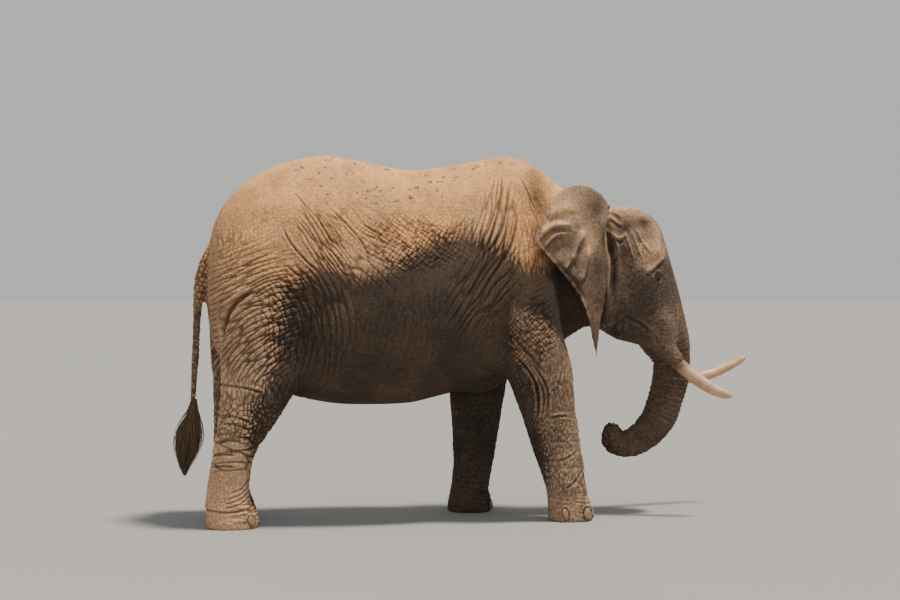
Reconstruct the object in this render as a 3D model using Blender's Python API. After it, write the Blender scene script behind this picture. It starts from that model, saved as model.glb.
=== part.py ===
"""An adult female African bush elephant, standing with its trunk curled, as a life-size still model.

Frame: metres, +X towards the head, +Y to the animal's left, +Z up, floor at z = 0.
The flesh is modelled whole from lofted volumes, blended, thinned to few faces and then parted into pieces.
"""

import math

import bmesh
import bpy
import numpy as np
from mathutils import Matrix, Vector
from mathutils.bvhtree import BVHTree

# ---------------------------------------------------------------- driving dimensions (metres)
SHOULDER_HEIGHT = 2.49
FOOT_TRACK = 0.30  # sideways distance of each foot's centre from the middle plane
VOXEL = 0.02  # grid on which the flesh volumes are joined
FLESH_FACES = 2380  # faces of the joined flesh after thinning
GAP = 0.0004  # clearance between neighbouring pieces
RING_POINTS = 28
SIDES = {"right": -1, "left": 1}

SMALLEST_BODY = 2e-6  # cubic metres; what a cut leaves below this is a crumb

# Colour and roughness by the word that a piece's name holds; the first that fits counts.
TONES = {
    "tusk": ((0.62, 0.47, 0.30), 0.45),
    "eye": ((0.020, 0.010, 0.006), 0.12),
    "nail": ((0.36, 0.28, 0.20), 0.55),
    "tuft": ((0.040, 0.030, 0.022), 0.70),
    "tail": ((0.20, 0.13, 0.09), 0.85),
    "ear": ((0.24, 0.16, 0.115), 0.85),
    "fore": ((0.17, 0.110, 0.075), 0.90),
    "hind": ((0.22, 0.150, 0.105), 0.90),
    "shank": ((0.24, 0.165, 0.115), 0.90),
    "trunk": ((0.15, 0.105, 0.078), 0.88),
    "": ((0.33, 0.22, 0.155), 0.90),
}
ROUND_KINDS = ("tusk", "eye", "nail")


# ---------------------------------------------------------------- small tools
def clear_scene():
    for obj in list(bpy.data.objects):
        bpy.data.objects.remove(obj, do_unlink=True)


def material(name, colour, roughness):
    """A Principled material of one colour."""
    made = bpy.data.materials.new(name)
    made.use_nodes = True
    shader = made.node_tree.nodes["Principled BSDF"]
    shader.inputs["Base Color"].default_value = colour
    shader.inputs["Roughness"].default_value = roughness
    shader.inputs["Metallic"].default_value = 0.0
    made.diffuse_color = colour
    return made


def new_object(name, mesh, finish=None):
    obj = bpy.data.objects.new(name, mesh)
    bpy.context.scene.collection.objects.link(obj)
    if finish is not None:
        mesh.materials.clear()
        mesh.materials.append(finish)
    return obj


def object_from_bmesh(name, bm, finish=None):
    bmesh.ops.recalc_face_normals(bm, faces=bm.faces[:])
    mesh = bpy.data.meshes.new(name)
    bm.to_mesh(mesh)
    bm.free()
    return new_object(name, mesh, finish)


def evaluated_mesh(obj):
    """The object's mesh with its modifiers applied."""
    bpy.context.view_layer.update()
    graph = bpy.context.evaluated_depsgraph_get()
    return bpy.data.meshes.new_from_object(obj.evaluated_get(graph))


def apply_modifiers(obj):
    mesh = evaluated_mesh(obj)
    obj.modifiers.clear()
    obj.data = mesh
    return obj


def boolean(obj, cutter, operation):
    """Cuts or keeps part of obj by cutter, and applies the result."""
    modifier = obj.modifiers.new("cut", "BOOLEAN")
    modifier.object = cutter
    modifier.operation = operation
    modifier.solver = "EXACT"
    return apply_modifiers(obj)


def remove(*objects):
    for obj in objects:
        bpy.data.objects.remove(obj, do_unlink=True)


def copy_of(obj, name):
    twin = obj.copy()
    twin.data = obj.data.copy()
    twin.name = name
    bpy.context.scene.collection.objects.link(twin)
    return twin


def swollen(obj, by):
    """A copy of obj with its surface moved outwards, used to cut a neighbour with clearance."""
    twin = copy_of(obj, obj.name + "_swollen")
    modifier = twin.modifiers.new("swell", "DISPLACE")
    modifier.mid_level = 0.0
    modifier.strength = by
    return apply_modifiers(twin)


def smooth_rows(rows, count):
    """Rows of numbers read at `count` places along a smooth (Catmull-Rom) curve through them."""
    rows = np.array(rows, float)
    padded = np.vstack([2 * rows[0] - rows[1], rows, 2 * rows[-1] - rows[-2]])
    steps = np.linalg.norm(np.diff(rows[:, :3], axis=0), axis=1)
    along = np.concatenate([[0], np.cumsum(steps)])
    made = []
    for place in np.linspace(0, along[-1], count):
        i = min(int(np.searchsorted(along, place, "right")) - 1, len(rows) - 2)
        t = (place - along[i]) / (along[i + 1] - along[i])
        a, b, c, d = padded[i : i + 4]
        made.append(
            0.5 * (2 * b + (c - a) * t + (2 * a - 5 * b + 4 * c - d) * t**2 + (3 * b - a - 3 * c + d) * t**3)
        )
    return np.array(made)


def section(centre, across, up, wide, high, low, power_high=2.0, power_low=2.0, points=RING_POINTS):
    """A closed ring: a superellipse `wide` to each side, `high` above and `low` below its centre."""
    ring = []
    for i in range(points):
        angle = 2 * math.pi * i / points
        c, s = math.cos(angle), math.sin(angle)
        power = power_high if s >= 0 else power_low
        x = math.copysign(abs(c) ** (2 / power), c) * wide
        y = math.copysign(abs(s) ** (2 / power), s) * (high if s >= 0 else low)
        ring.append(centre + across * x + up * y)
    return ring


def add_loft(bm, rings):
    """Bridges the rings in order and closes both ends."""
    made = [[bm.verts.new(p) for p in ring] for ring in rings]
    for first, second in zip(made, made[1:]):
        for i in range(len(first)):
            j = (i + 1) % len(first)
            bm.faces.new((first[i], first[j], second[j], second[i]))
    bm.faces.new(made[0][::-1])
    bm.faces.new(made[-1])


def add_tube(bm, stations, count, flat_back=2.0, points=RING_POINTS):
    """A loft along a path. A station is (x, y, z, half fore-and-aft size, half sideways size)."""
    rows = smooth_rows(stations, count)
    path = rows[:, :3]
    heading = np.gradient(path, axis=0)
    rings = []
    for i, row in enumerate(rows):
        forward = Vector(heading[i]).normalized()
        up = Vector((0, 1, 0)).cross(forward).normalized()
        across = forward.cross(up).normalized()
        deep, wide = max(row[3], 0.004), max(row[4], 0.004)
        rings.append(section(Vector(path[i]), across, up, wide, deep, deep, 2.0, flat_back, points))
    add_loft(bm, rings)


def add_ball(bm, centre, radii, tilt=0.0, segments=20):
    """An ellipsoid, turned about the sideways axis by tilt degrees."""
    turned = Matrix.Rotation(math.radians(tilt), 4, "Y")
    place = Matrix.Translation(centre) @ turned @ Matrix.Diagonal((*radii, 1))
    bmesh.ops.create_uvsphere(bm, u_segments=segments, v_segments=segments // 2, radius=1.0, matrix=place)


# ---------------------------------------------------------------- flesh volumes
# Stations of the torso, from the rump to the neck: x, top, widest height, bottom, half width.
TORSO = [
    (-1.665, 1.80, 1.62, 1.46, 0.115),
    (-1.625, 1.99, 1.60, 1.22, 0.24),
    (-1.54, 2.165, 1.58, 1.06, 0.341),
    (-1.32, 2.365, 1.56, 0.93, 0.432),
    (-1.08, 2.452, 1.54, 0.85, 0.48),
    (-0.83, 2.488, 1.50, 0.80, 0.504),
    (-0.55, 2.438, 1.46, 0.785, 0.523),
    (-0.28, 2.393, 1.44, 0.795, 0.523),
    (0.02, 2.430, 1.46, 0.865, 0.499),
    (0.28, 2.480, 1.50, 0.90, 0.451),
    (0.46, SHOULDER_HEIGHT, 1.54, 0.985, 0.408),
    (0.62, 2.41, 1.58, 1.09, 0.37),
    (0.80, 2.27, 1.66, 1.22, 0.322),
    (1.00, 2.17, 1.72, 1.32, 0.278),
    (1.18, 2.10, 1.72, 1.40, 0.24),
]
BACK_POWER, BELLY_POWER = 1.8, 2.15  # squareness of the sections over and under their widest height

# Head stations, from the crown down the face: x, z, half fore-and-aft size, half width.
SKULL = [
    (1.275, 2.145, 0.06, 0.05),
    (1.268, 2.10, 0.165, 0.14),
    (1.262, 2.00, 0.235, 0.205),
    (1.262, 1.86, 0.275, 0.25),
    (1.275, 1.70, 0.30, 0.272),
    (1.305, 1.55, 0.312, 0.268),
    (1.35, 1.43, 0.30, 0.25),
    (1.42, 1.34, 0.23, 0.215),
    (1.46, 1.27, 0.16, 0.17),
]

# Trunk stations, from the forehead to the tip: x, z, half fore-and-aft size, half width.
TRUNK = [
    (1.36, 1.88, 0.15, 0.14),
    (1.43, 1.68, 0.155, 0.165),
    (1.49, 1.48, 0.148, 0.185),
    (1.546, 1.30, 0.138, 0.18),
    (1.583, 1.13, 0.130, 0.155),
    (1.578, 0.96, 0.128, 0.140),
    (1.545, 0.81, 0.124, 0.130),
    (1.488, 0.66, 0.121, 0.122),
    (1.405, 0.558, 0.113, 0.114),
    (1.31, 0.497, 0.104, 0.105),
    (1.225, 0.478, 0.092, 0.096),
    (1.163, 0.493, 0.082, 0.086),
    (1.138, 0.545, 0.072, 0.076),
    (1.150, 0.598, 0.062, 0.068),
]

# Lower jaw stations, from its hinge to the lip: x, z, half height, half width.
JAW = [
    (1.08, 1.46, 0.13, 0.20),
    (1.16, 1.36, 0.125, 0.19),
    (1.26, 1.295, 0.095, 0.155),
    (1.35, 1.245, 0.070, 0.115),
    (1.425, 1.195, 0.045, 0.070),
    (1.46, 1.165, 0.018, 0.030),
]

# Leg stations, from the body to the sole: x, y (outwards), z, half fore-and-aft size, half sideways size.
FORELEG = {
    "right": [
        (0.43, 0.205, 2.16, 0.13, 0.07),
        (0.43, 0.285, 1.90, 0.20, 0.12),
        (0.46, 0.35, 1.60, 0.245, 0.15),
        (0.500, 0.35, 1.30, 0.220, 0.165),
        (0.562, 0.33, 1.02, 0.232, 0.16),
        (0.602, 0.315, 0.86, 0.208, 0.15),
        (0.646, 0.3, 0.69, 0.184, 0.14),
        (0.697, 0.29, 0.49, 0.166, 0.14),
        (0.743, FOOT_TRACK, 0.30, 0.146, 0.138),
        (0.77, FOOT_TRACK, 0.145, 0.140, 0.138),
        (0.787, FOOT_TRACK, 0.05, 0.160, 0.158),
        (0.787, FOOT_TRACK, 0.0, 0.158, 0.156),
        (0.787, FOOT_TRACK, -0.05, 0.130, 0.128),
    ],
    "left": [
        (0.40, 0.205, 2.16, 0.13, 0.07),
        (0.37, 0.285, 1.90, 0.20, 0.12),
        (0.34, 0.35, 1.60, 0.245, 0.15),
        (0.305, 0.35, 1.30, 0.235, 0.165),
        (0.27, 0.33, 1.02, 0.222, 0.16),
        (0.25, 0.315, 0.80, 0.200, 0.15),
        (0.238, 0.3, 0.62, 0.172, 0.14),
        (0.228, 0.29, 0.43, 0.154, 0.135),
        (0.212, FOOT_TRACK, 0.28, 0.140, 0.132),
        (0.197, FOOT_TRACK, 0.145, 0.140, 0.138),
        (0.195, FOOT_TRACK, 0.05, 0.160, 0.158),
        (0.195, FOOT_TRACK, 0.0, 0.158, 0.156),
        (0.195, FOOT_TRACK, -0.05, 0.130, 0.128),
    ],
}
HINDLEG = {
    "right": [
        (-1.18, 0.17, 2.05, 0.24, 0.12),
        (-1.21, 0.25, 1.78, 0.335, 0.18),
        (-1.26, 0.3, 1.45, 0.345, 0.20),
        (-1.30, 0.315, 1.18, 0.305, 0.195),
        (-1.355, 0.32, 0.93, 0.252, 0.18),
        (-1.43, 0.32, 0.73, 0.190, 0.158),
        (-1.497, 0.315, 0.55, 0.145, 0.14),
        (-1.530, 0.31, 0.38, 0.136, 0.132),
        (-1.550, 0.305, 0.21, 0.145, 0.132),
        (-1.535, 0.305, 0.10, 0.168, 0.140),
        (-1.517, 0.305, 0.04, 0.178, 0.148),
        (-1.517, 0.305, 0.0, 0.176, 0.146),
        (-1.517, 0.305, -0.05, 0.145, 0.118),
    ],
    "left": [
        (-1.18, 0.17, 2.05, 0.24, 0.12),
        (-1.22, 0.25, 1.78, 0.335, 0.18),
        (-1.29, 0.3, 1.45, 0.345, 0.20),
        (-1.33, 0.315, 1.18, 0.305, 0.195),
        (-1.375, 0.32, 0.93, 0.247, 0.18),
        (-1.43, 0.32, 0.73, 0.182, 0.158),
        (-1.467, 0.315, 0.55, 0.140, 0.14),
        (-1.485, 0.31, 0.38, 0.128, 0.132),
        (-1.500, 0.305, 0.21, 0.135, 0.132),
        (-1.490, 0.305, 0.10, 0.158, 0.140),
        (-1.482, 0.305, 0.04, 0.170, 0.148),
        (-1.482, 0.305, 0.0, 0.168, 0.146),
        (-1.482, 0.305, -0.05, 0.140, 0.118),
    ],
}


# Swellings of the skull on each side: centre (x, outwards, z), radii, tilt in degrees.
SKULL_SWELLINGS = [
    ((1.30, 0.205, 1.665), (0.15, 0.095, 0.09), 8),  # cheek bone
    ((1.16, 0.185, 1.50), (0.13, 0.10, 0.19), 10),  # chewing muscle
    ((1.37, 0.155, 1.80), (0.11, 0.09, 0.10), 20),  # brow
]
# Flesh round the root of each tusk: x, y (outwards), z, half fore-and-aft size, half sideways size.
TUSK_SHEATH = [
    (1.40, 0.13, 1.48, 0.10, 0.085),
    (1.45, 0.165, 1.34, 0.098, 0.082),
    (1.495, 0.19, 1.215, 0.080, 0.068),
    (1.52, 0.20, 1.165, 0.055, 0.050),
]
TRUNK_BACK_POWER = 2.5  # the trunk is flatter behind than in front
# Webs of skin and swellings under the body: centre, radii, tilt. A web's x comes from its limb.
KNEE_WEB_X = {"right": -1.16, "left": -1.18}
KNEE_WEB = ((0.33, 1.12), (0.17, 0.12, 0.24), 22)
ELBOW_WEB = ((0.33, 1.15), (0.16, 0.11, 0.17), 0)
ELBOW_WEB_BEHIND = 0.12  # how far the elbow's web lies behind the middle of the foreleg
BREAST = ((0.19, 0, 1.02), (0.22, 0.27, 0.17), 0)
BREASTBONE = ((0.62, 0, 1.36), (0.24, 0.30, 0.22), 25)


def add_torso(bm):
    rows = smooth_rows([(x, 0, top, mid, low, wide) for x, top, mid, low, wide in TORSO], 48)
    across, up = Vector((0, 1, 0)), Vector((0, 0, 1))
    rings = []
    for x, _, top, mid, low, wide in rows:
        centre = Vector((x, 0, mid))
        rings.append(section(centre, across, up, wide, top - mid, mid - low, BACK_POWER, BELLY_POWER, 40))
    add_loft(bm, rings)


def add_head(bm):
    add_tube(bm, [(x, 0, z, deep, wide) for x, z, deep, wide in SKULL], 22, points=32)
    add_tube(bm, [(x, 0, z, high, wide) for x, z, high, wide in JAW], 14)
    add_tube(bm, [(x, 0, z, deep, wide) for x, z, deep, wide in TRUNK], 60, flat_back=TRUNK_BACK_POWER)
    for sign in SIDES.values():
        for (x, y, z), radii, tilt in SKULL_SWELLINGS:
            add_ball(bm, (x, sign * y, z), radii, tilt)
        add_tube(bm, [(x, sign * y, z, deep, wide) for x, y, z, deep, wide in TUSK_SHEATH], 10)


def add_legs(bm):
    for side, sign in SIDES.items():
        for stations in (FORELEG[side], HINDLEG[side]):
            placed = [(x, sign * y, z, deep, wide) for x, y, z, deep, wide in stations]
            add_tube(bm, placed, 44)


def add_webs(bm):
    """The webs of skin that join each thigh to the belly and each forearm to the chest, and the breast."""
    for side, sign in SIDES.items():
        elbow_x = FORELEG[side][4][0] - ELBOW_WEB_BEHIND
        for x, ((y, z), radii, tilt) in ((KNEE_WEB_X[side], KNEE_WEB), (elbow_x, ELBOW_WEB)):
            add_ball(bm, (x, sign * y, z), radii, tilt)
    for centre, radii, tilt in (BREAST, BREASTBONE):
        add_ball(bm, centre, radii, tilt)


# Shallow relief pushed along the surface: centre (x, outwards, z), radii, height (negative for a hollow).
RELIEF = [
    ((1.345, 0.23, 1.97), (0.085, 0.10, 0.095), -0.034),  # temple hollow
    ((1.42, 0.26, 1.665), (0.045, 0.08, 0.04), -0.012),  # eye socket
    ((1.12, 0.22, 1.80), (0.10, 0.12, 0.16), -0.02),  # ear pit
    ((1.49, 0.16, 1.58), (0.09, 0.08, 0.14), -0.014),  # beside the root of the trunk
    ((-1.02, 0.40, 2.12), (0.18, 0.14, 0.16), 0.028),  # hip bone
    ((-0.70, 0.50, 1.98), (0.26, 0.25, 0.22), -0.030),  # flank hollow
    ((0.13, 0.50, 1.72), (0.15, 0.25, 0.42), -0.028),  # behind the shoulder
    ((0.42, 0.30, 2.15), (0.10, 0.20, 0.30), 0.022),  # shoulder blade
    ((0.68, 0.35, 1.75), (0.11, 0.18, 0.34), -0.026),  # before the shoulder
    ((-1.50, 0.33, 1.55), (0.16, 0.20, 0.26), 0.020),  # buttock
    ((-0.35, 0.55, 1.45), (0.50, 0.30, 0.35), 0.012),  # barrel of the ribs
]
# Joins that are rounded more than the rest: centre (x, outwards, z), radius.
SOFT_JOINS = [
    ((-1.02, 0.30, 1.10), 0.34),
    ((-1.30, 0.15, 1.20), 0.30),
    ((-1.50, 0.20, 1.60), 0.30),
    ((-1.00, 0.42, 1.70), 0.36),
    ((0.10, 0.32, 1.15), 0.28),
    ((0.45, 0.10, 1.10), 0.28),
    ((0.75, 0.30, 1.50), 0.28),
    ((0.45, 0.38, 1.85), 0.34),
    ((0.95, 0.28, 1.60), 0.26),
    ((1.10, 0.18, 2.05), 0.20),
    ((1.10, 0.10, 1.35), 0.18),
]
SOFT_LEAST, SOFT_MOST, SOFT_ROUNDS = 0.06, 0.6, 26  # weakest and strongest rounding, and how often it is done
FINE_HEAD_FROM = 1.02  # x beyond which thinning keeps more faces
HEAD_COARSENESS = 0.35  # share of the thinning that the head takes, against 1 for the rest


def neighbours_mean(edges, points, counts):
    total = np.zeros_like(points)
    for axis in range(3):
        total[:, axis] += np.bincount(edges[:, 0], points[edges[:, 1], axis], len(points))
        total[:, axis] += np.bincount(edges[:, 1], points[edges[:, 0], axis], len(points))
    return total / counts[:, None]


def relax(mesh, weights, rounds):
    """Moves each vertex towards its neighbours' mean, by its own weight, in several rounds."""
    points = np.empty(len(mesh.vertices) * 3)
    mesh.vertices.foreach_get("co", points)
    points = points.reshape(-1, 3)
    edges = np.empty(len(mesh.edges) * 2, np.int64)
    mesh.edges.foreach_get("vertices", edges)
    edges = edges.reshape(-1, 2)
    counts = np.bincount(edges.ravel(), minlength=len(points))
    for _ in range(rounds):
        points += (neighbours_mean(edges, points, counts) - points) * weights[:, None]
    mesh.vertices.foreach_set("co", points.ravel())
    mesh.update()


def falloff(points, centre, radii):
    """1 at the centre, fading to 0 past the radii, the same on the left and the right."""
    folded = np.column_stack([points[:, 0], np.abs(points[:, 1]), points[:, 2]])
    return np.exp(-(((folded - np.array(centre)) / np.array(radii)) ** 2).sum(1))


def points_and_normals(mesh):
    points = np.empty(len(mesh.vertices) * 3)
    mesh.vertices.foreach_get("co", points)
    normals = np.empty(len(mesh.vertices) * 3)
    mesh.vertex_normals.foreach_get("vector", normals)
    return points.reshape(-1, 3), normals.reshape(-1, 3)


def carve_relief(mesh):
    points, normals = points_and_normals(mesh)
    height = sum(amount * falloff(points, centre, radii) for centre, radii, amount in RELIEF)
    mesh.vertices.foreach_set("co", (points + normals * height[:, None]).ravel())
    mesh.update()


def soften_joins(mesh):
    points, _ = points_and_normals(mesh)
    near = sum(falloff(points, centre, (radius,) * 3) for centre, radius in SOFT_JOINS)
    relax(mesh, np.clip(SOFT_LEAST + SOFT_MOST * near, 0, SOFT_MOST), SOFT_ROUNDS)


def thin(obj, faces):
    """Collapses edges down to a number of triangles, keeping more of them on the head and trunk."""
    points, _ = points_and_normals(obj.data)
    group = obj.vertex_groups.new(name="coarse")
    for i, x in enumerate(points[:, 0]):
        group.add([i], HEAD_COARSENESS if x > FINE_HEAD_FROM else 1.0, "REPLACE")
    modifier = obj.modifiers.new("thin", "DECIMATE")
    modifier.ratio = faces / (2 * len(obj.data.polygons))
    modifier.vertex_group = group.name
    modifier.vertex_group_factor = 0.005
    modifier.use_collapse_triangulate = True
    apply_modifiers(obj)
    obj.vertex_groups.clear()
    return obj


def flesh_whole():
    """The body, head, trunk and legs as one closed mesh, standing on flat soles at z = 0."""
    bm = bmesh.new()
    add_torso(bm)
    add_head(bm)
    add_legs(bm)
    add_webs(bm)
    whole = object_from_bmesh("whole", bm)
    remesh = whole.modifiers.new("join", "REMESH")
    remesh.mode = "VOXEL"
    remesh.voxel_size = VOXEL
    apply_modifiers(whole)
    soften_joins(whole.data)
    carve_relief(whole.data)
    thin(whole, FLESH_FACES)
    floor = box("floor", (0, 0, -0.5), (6, 4, 1))
    boolean(whole, floor, "DIFFERENCE")
    remove(floor)
    return whole


# ---------------------------------------------------------------- ears, tusks, eyes, tail and nails
# Rim of an ear, from its upper front corner back, down and round to its root: x, y (outwards), z.
EAR_RIM = [
    (1.10, 0.17, 2.155),
    (1.02, 0.25, 2.235),
    (0.915, 0.31, 2.29),
    (0.815, 0.355, 2.305),
    (0.71, 0.40, 2.28),
    (0.645, 0.43, 2.225),
    (0.587, 0.46, 2.11),
    (0.492, 0.50, 1.912),
    (0.562, 0.485, 1.83),
    (0.724, 0.44, 1.647),
    (0.842, 0.41, 1.498),
    (0.903, 0.375, 1.33),
    (0.952, 0.355, 1.125),
    (0.970, 0.345, 1.24),
    (0.998, 0.335, 1.38),
    (1.022, 0.305, 1.52),
    (1.036, 0.235, 1.72),
    (1.055, 0.13, 1.97),
    (1.10, 0.17, 2.155),
]
EAR_MIDDLE = (0.95, 0.345, 1.85)  # where its spokes start
EAR_LOBE_BACK = {"right": 0.0, "left": 0.08}  # how far back the lower end of each ear swings
EAR_LOBE_HEIGHTS = (1.20, 1.70)  # it swings fully below the first height and not at all above the second
EAR_SPOKES, EAR_RINGS = 28, 4
EAR_WAVE, EAR_WAVES, EAR_WAVE_END = 0.016, 31.0, 0.6  # height, phase and end of the folds along the rim
EAR_THICK_ROOT, EAR_THICK_RIM = 0.030, 0.017

TUSK_PATHS = {
    "right": [
        (1.41, 0.175, 1.27, 0.052),
        (1.54, 0.215, 1.085, 0.048),
        (1.68, 0.275, 0.955, 0.044),
        (1.79, 0.320, 0.880, 0.039),
        (1.875, 0.350, 0.845, 0.030),
        (1.912, 0.362, 0.832, 0.010),
    ],
    "left": [
        (1.41, 0.175, 1.27, 0.052),
        (1.54, 0.215, 1.085, 0.048),
        (1.67, 0.270, 0.970, 0.045),
        (1.82, 0.325, 0.922, 0.042),
        (2.00, 0.370, 0.950, 0.037),
        (2.16, 0.390, 1.015, 0.030),
        (2.225, 0.394, 1.048, 0.022),
        (2.256, 0.395, 1.064, 0.008),
    ],
}
EYE_RADIUS = 0.022
EYE_PLACE = (1.417, 1.657)  # x, z
FAR_OUT = 1.0  # a distance from the middle plane that is outside the animal
EYE_SUNK = 0.013  # how far the middle of the eyeball lies under the skin

# Tail stations: x, z, half fore-and-aft size, half width. It is parted where the hair starts.
TAIL = [
    (-1.58, 1.86, 0.075, 0.085),
    (-1.655, 1.77, 0.058, 0.066),
    (-1.705, 1.66, 0.044, 0.050),
    (-1.725, 1.50, 0.035, 0.038),
    (-1.735, 1.30, 0.029, 0.031),
    (-1.748, 1.05, 0.026, 0.027),
    (-1.760, 0.85, 0.024, 0.022),
    (-1.768, 0.74, 0.022, 0.018),
]
TAIL_TUFT = [
    (-1.768, 0.80, 0.034, 0.028),
    (-1.775, 0.72, 0.066, 0.032),
    (-1.785, 0.61, 0.084, 0.034),
    (-1.795, 0.51, 0.078, 0.030),
    (-1.808, 0.42, 0.052, 0.022),
    (-1.820, 0.34, 0.018, 0.010),
]
TAIL_PART_AT = 1.32  # height at which the tail is parted in two

NAIL_SIZE = (0.016, 0.036, 0.041)  # half thickness, half width, half height
NAIL_HEIGHT = 0.055
NAIL_SUNK = 0.006
NAIL_LEAN = -14  # degrees that a nail's top leans back
NAIL_ANGLES = {"fore": (-54, -19, 19, 54), "hind": (-38, 0, 38)}  # degrees from straight ahead


def box(name, centre, size, turn=0.0):
    """A box turned about the sideways axis by turn degrees."""
    bm = bmesh.new()
    turned = Matrix.Rotation(math.radians(turn), 4, "Y")
    place = Matrix.Translation(centre) @ turned @ Matrix.Diagonal((*size, 1))
    bmesh.ops.create_cube(bm, size=1.0, matrix=place)
    return object_from_bmesh(name, bm)


def ear_rings():
    """Rings of points of the right ear's middle surface, from its middle out to its rim."""
    rim = smooth_rows(EAR_RIM, EAR_SPOKES + 1)[:-1]
    start = np.array(EAR_MIDDLE)
    along = np.arange(EAR_SPOKES) / EAR_SPOKES
    wave = EAR_WAVE * np.sin(along * EAR_WAVES) * np.sin(math.pi * np.minimum(along / EAR_WAVE_END, 1))
    rings = []
    for step in range(1, EAR_RINGS + 1):
        out = step / EAR_RINGS
        ring = start + (rim - start) * out
        ring[:, 1] = start[1] + (rim[:, 1] - start[1]) * out**1.6 + wave * out
        rings.append(ring)
    return rings


def swing_back(side, z):
    """How far back the ear hangs at height z."""
    return float(np.interp(z, EAR_LOBE_HEIGHTS, (EAR_LOBE_BACK[side], 0)))


def ear(side, sign):
    """A thick sheet rooted beside the neck, that spreads back from it with soft folds along its rear edge."""
    bm = bmesh.new()
    hub = bm.verts.new((EAR_MIDDLE[0], sign * EAR_MIDDLE[1], EAR_MIDDLE[2]))
    rings = []
    for ring in ear_rings():
        rings.append([bm.verts.new((x - swing_back(side, z), sign * y, z)) for x, y, z in ring])
    for i in range(EAR_SPOKES):
        j = (i + 1) % EAR_SPOKES
        bm.faces.new((hub, rings[0][i], rings[0][j]))
        for inner, outer in zip(rings, rings[1:]):
            bm.faces.new((inner[i], outer[i], outer[j], inner[j]))
    sheet = object_from_bmesh(side + "_ear", bm)
    group = sheet.vertex_groups.new(name="thick")
    thinnest = EAR_THICK_RIM / EAR_THICK_ROOT
    for vertex in sheet.data.vertices:
        out = math.ceil(vertex.index / EAR_SPOKES) / EAR_RINGS
        group.add([vertex.index], 1 + (thinnest - 1) * out, "REPLACE")
    solidify = sheet.modifiers.new("thicken", "SOLIDIFY")
    solidify.thickness = EAR_THICK_ROOT
    solidify.offset = 0
    solidify.vertex_group = group.name
    apply_modifiers(sheet)
    sheet.vertex_groups.clear()
    return sheet


def tusk(side, sign):
    bm = bmesh.new()
    add_tube(bm, [(x, sign * y, z, r, r) for x, y, z, r in TUSK_PATHS[side]], 9, points=9)
    return object_from_bmesh(side + "_tusk", bm)


def first_met(tree, origin, direction):
    """Where a straight line from origin first meets the flesh, and the direction of the surface there."""
    place, normal, _, _ = tree.ray_cast(Vector(origin), Vector(direction))
    return place, normal


def eye(side, sign, tree):
    """An eyeball that bulges a little out of the side of the head."""
    x, z = EYE_PLACE
    place, normal = first_met(tree, (x, sign * FAR_OUT, z), (0, -sign, 0))
    bm = bmesh.new()
    add_ball(bm, place - normal * EYE_SUNK, (EYE_RADIUS,) * 3, segments=12)
    return object_from_bmesh(side + "_eye", bm)


def nails(side, sign, end, legs, tree):
    """The row of nails round the front of one foot, numbered from the inner side outwards."""
    x, y = legs[side][-2][:2]
    made = []
    for number, degrees in enumerate(NAIL_ANGLES[end], 1):
        angle = math.radians(degrees) * sign
        outward = Vector((math.cos(angle), math.sin(angle), 0))
        axis = Vector((x, sign * y, NAIL_HEIGHT))
        place, _ = first_met(tree, axis + outward, -outward)
        centre = place - outward * NAIL_SUNK
        lean = Matrix.Rotation(math.radians(NAIL_LEAN), 4, "Y")
        turn = Matrix.Rotation(angle, 4, "Z")
        bm = bmesh.new()
        shape = Matrix.Translation(centre) @ turn @ lean @ Matrix.Diagonal((*NAIL_SIZE, 1))
        bmesh.ops.create_uvsphere(bm, u_segments=8, v_segments=5, radius=1.0, matrix=shape)
        made.append(object_from_bmesh(f"{side}_{end}_nail_{number}", bm))
    return made


def tail():
    """The tail's two lengths and the tuft of hair at its end."""
    bm = bmesh.new()
    add_tube(bm, [(x, 0, z, deep, wide) for x, z, deep, wide in TAIL], 15, points=10)
    length = object_from_bmesh("tail_whip", bm)
    bm = bmesh.new()
    add_tube(bm, [(x, 0, z, deep, wide) for x, z, deep, wide in TAIL_TUFT], 9, points=12)
    return length, object_from_bmesh("tail_tuft", bm)


# ---------------------------------------------------------------- parting the flesh
# A cell holds one leg up to where it joins the body: rows of z, rear x, front x, inner y, outer y.
LEG_CELLS = {
    "fore": [
        (-0.10, -0.30, 0.30, 0.08, 0.80),
        (0.55, -0.30, 0.30, 0.12, 0.80),
        (0.85, -0.26, 0.28, 0.17, 0.80),
        (1.15, -0.26, 0.27, 0.22, 0.80),
        (1.40, -0.22, 0.25, 0.25, 0.80),
        (1.60, -0.12, 0.14, 0.28, 0.80),
    ],
    "hind": [
        (-0.10, -0.40, 0.30, 0.08, 0.80),
        (0.65, -0.40, 0.30, 0.10, 0.80),
        (0.92, -0.50, 0.32, 0.13, 0.80),
        (1.20, -0.55, 0.34, 0.18, 0.80),
        (1.45, -0.45, 0.26, 0.24, 0.80),
        (1.62, -0.20, 0.12, 0.28, 0.80),
    ],
}
# Jaw cell: x, height of the mouth line, half width.
JAW_CELL = [
    (1.05, 1.33, 0.30),
    (1.22, 1.385, 0.26),
    (1.33, 1.30, 0.15),
    (1.43, 1.215, 0.10),
    (1.50, 1.15, 0.08),
]
JAW_CELL_FLOOR = 1.0
# Cuts right across the body: a point, the plate's turn and its size.
BODY_CUTS = [
    ((-0.85, 0, 1.60), 0, 2.4),
    ((-0.10, 0, 1.60), 0, 2.4),
    ((0.80, 0, 1.75), 4, 2.2),
    ((1.07, 0, 1.75), 6, 1.7),
]
TRUNK_SAMPLES = 61
TRUNK_ROOT_CUT = ((1.52, 0, 1.33), 40, 0.80)
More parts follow.
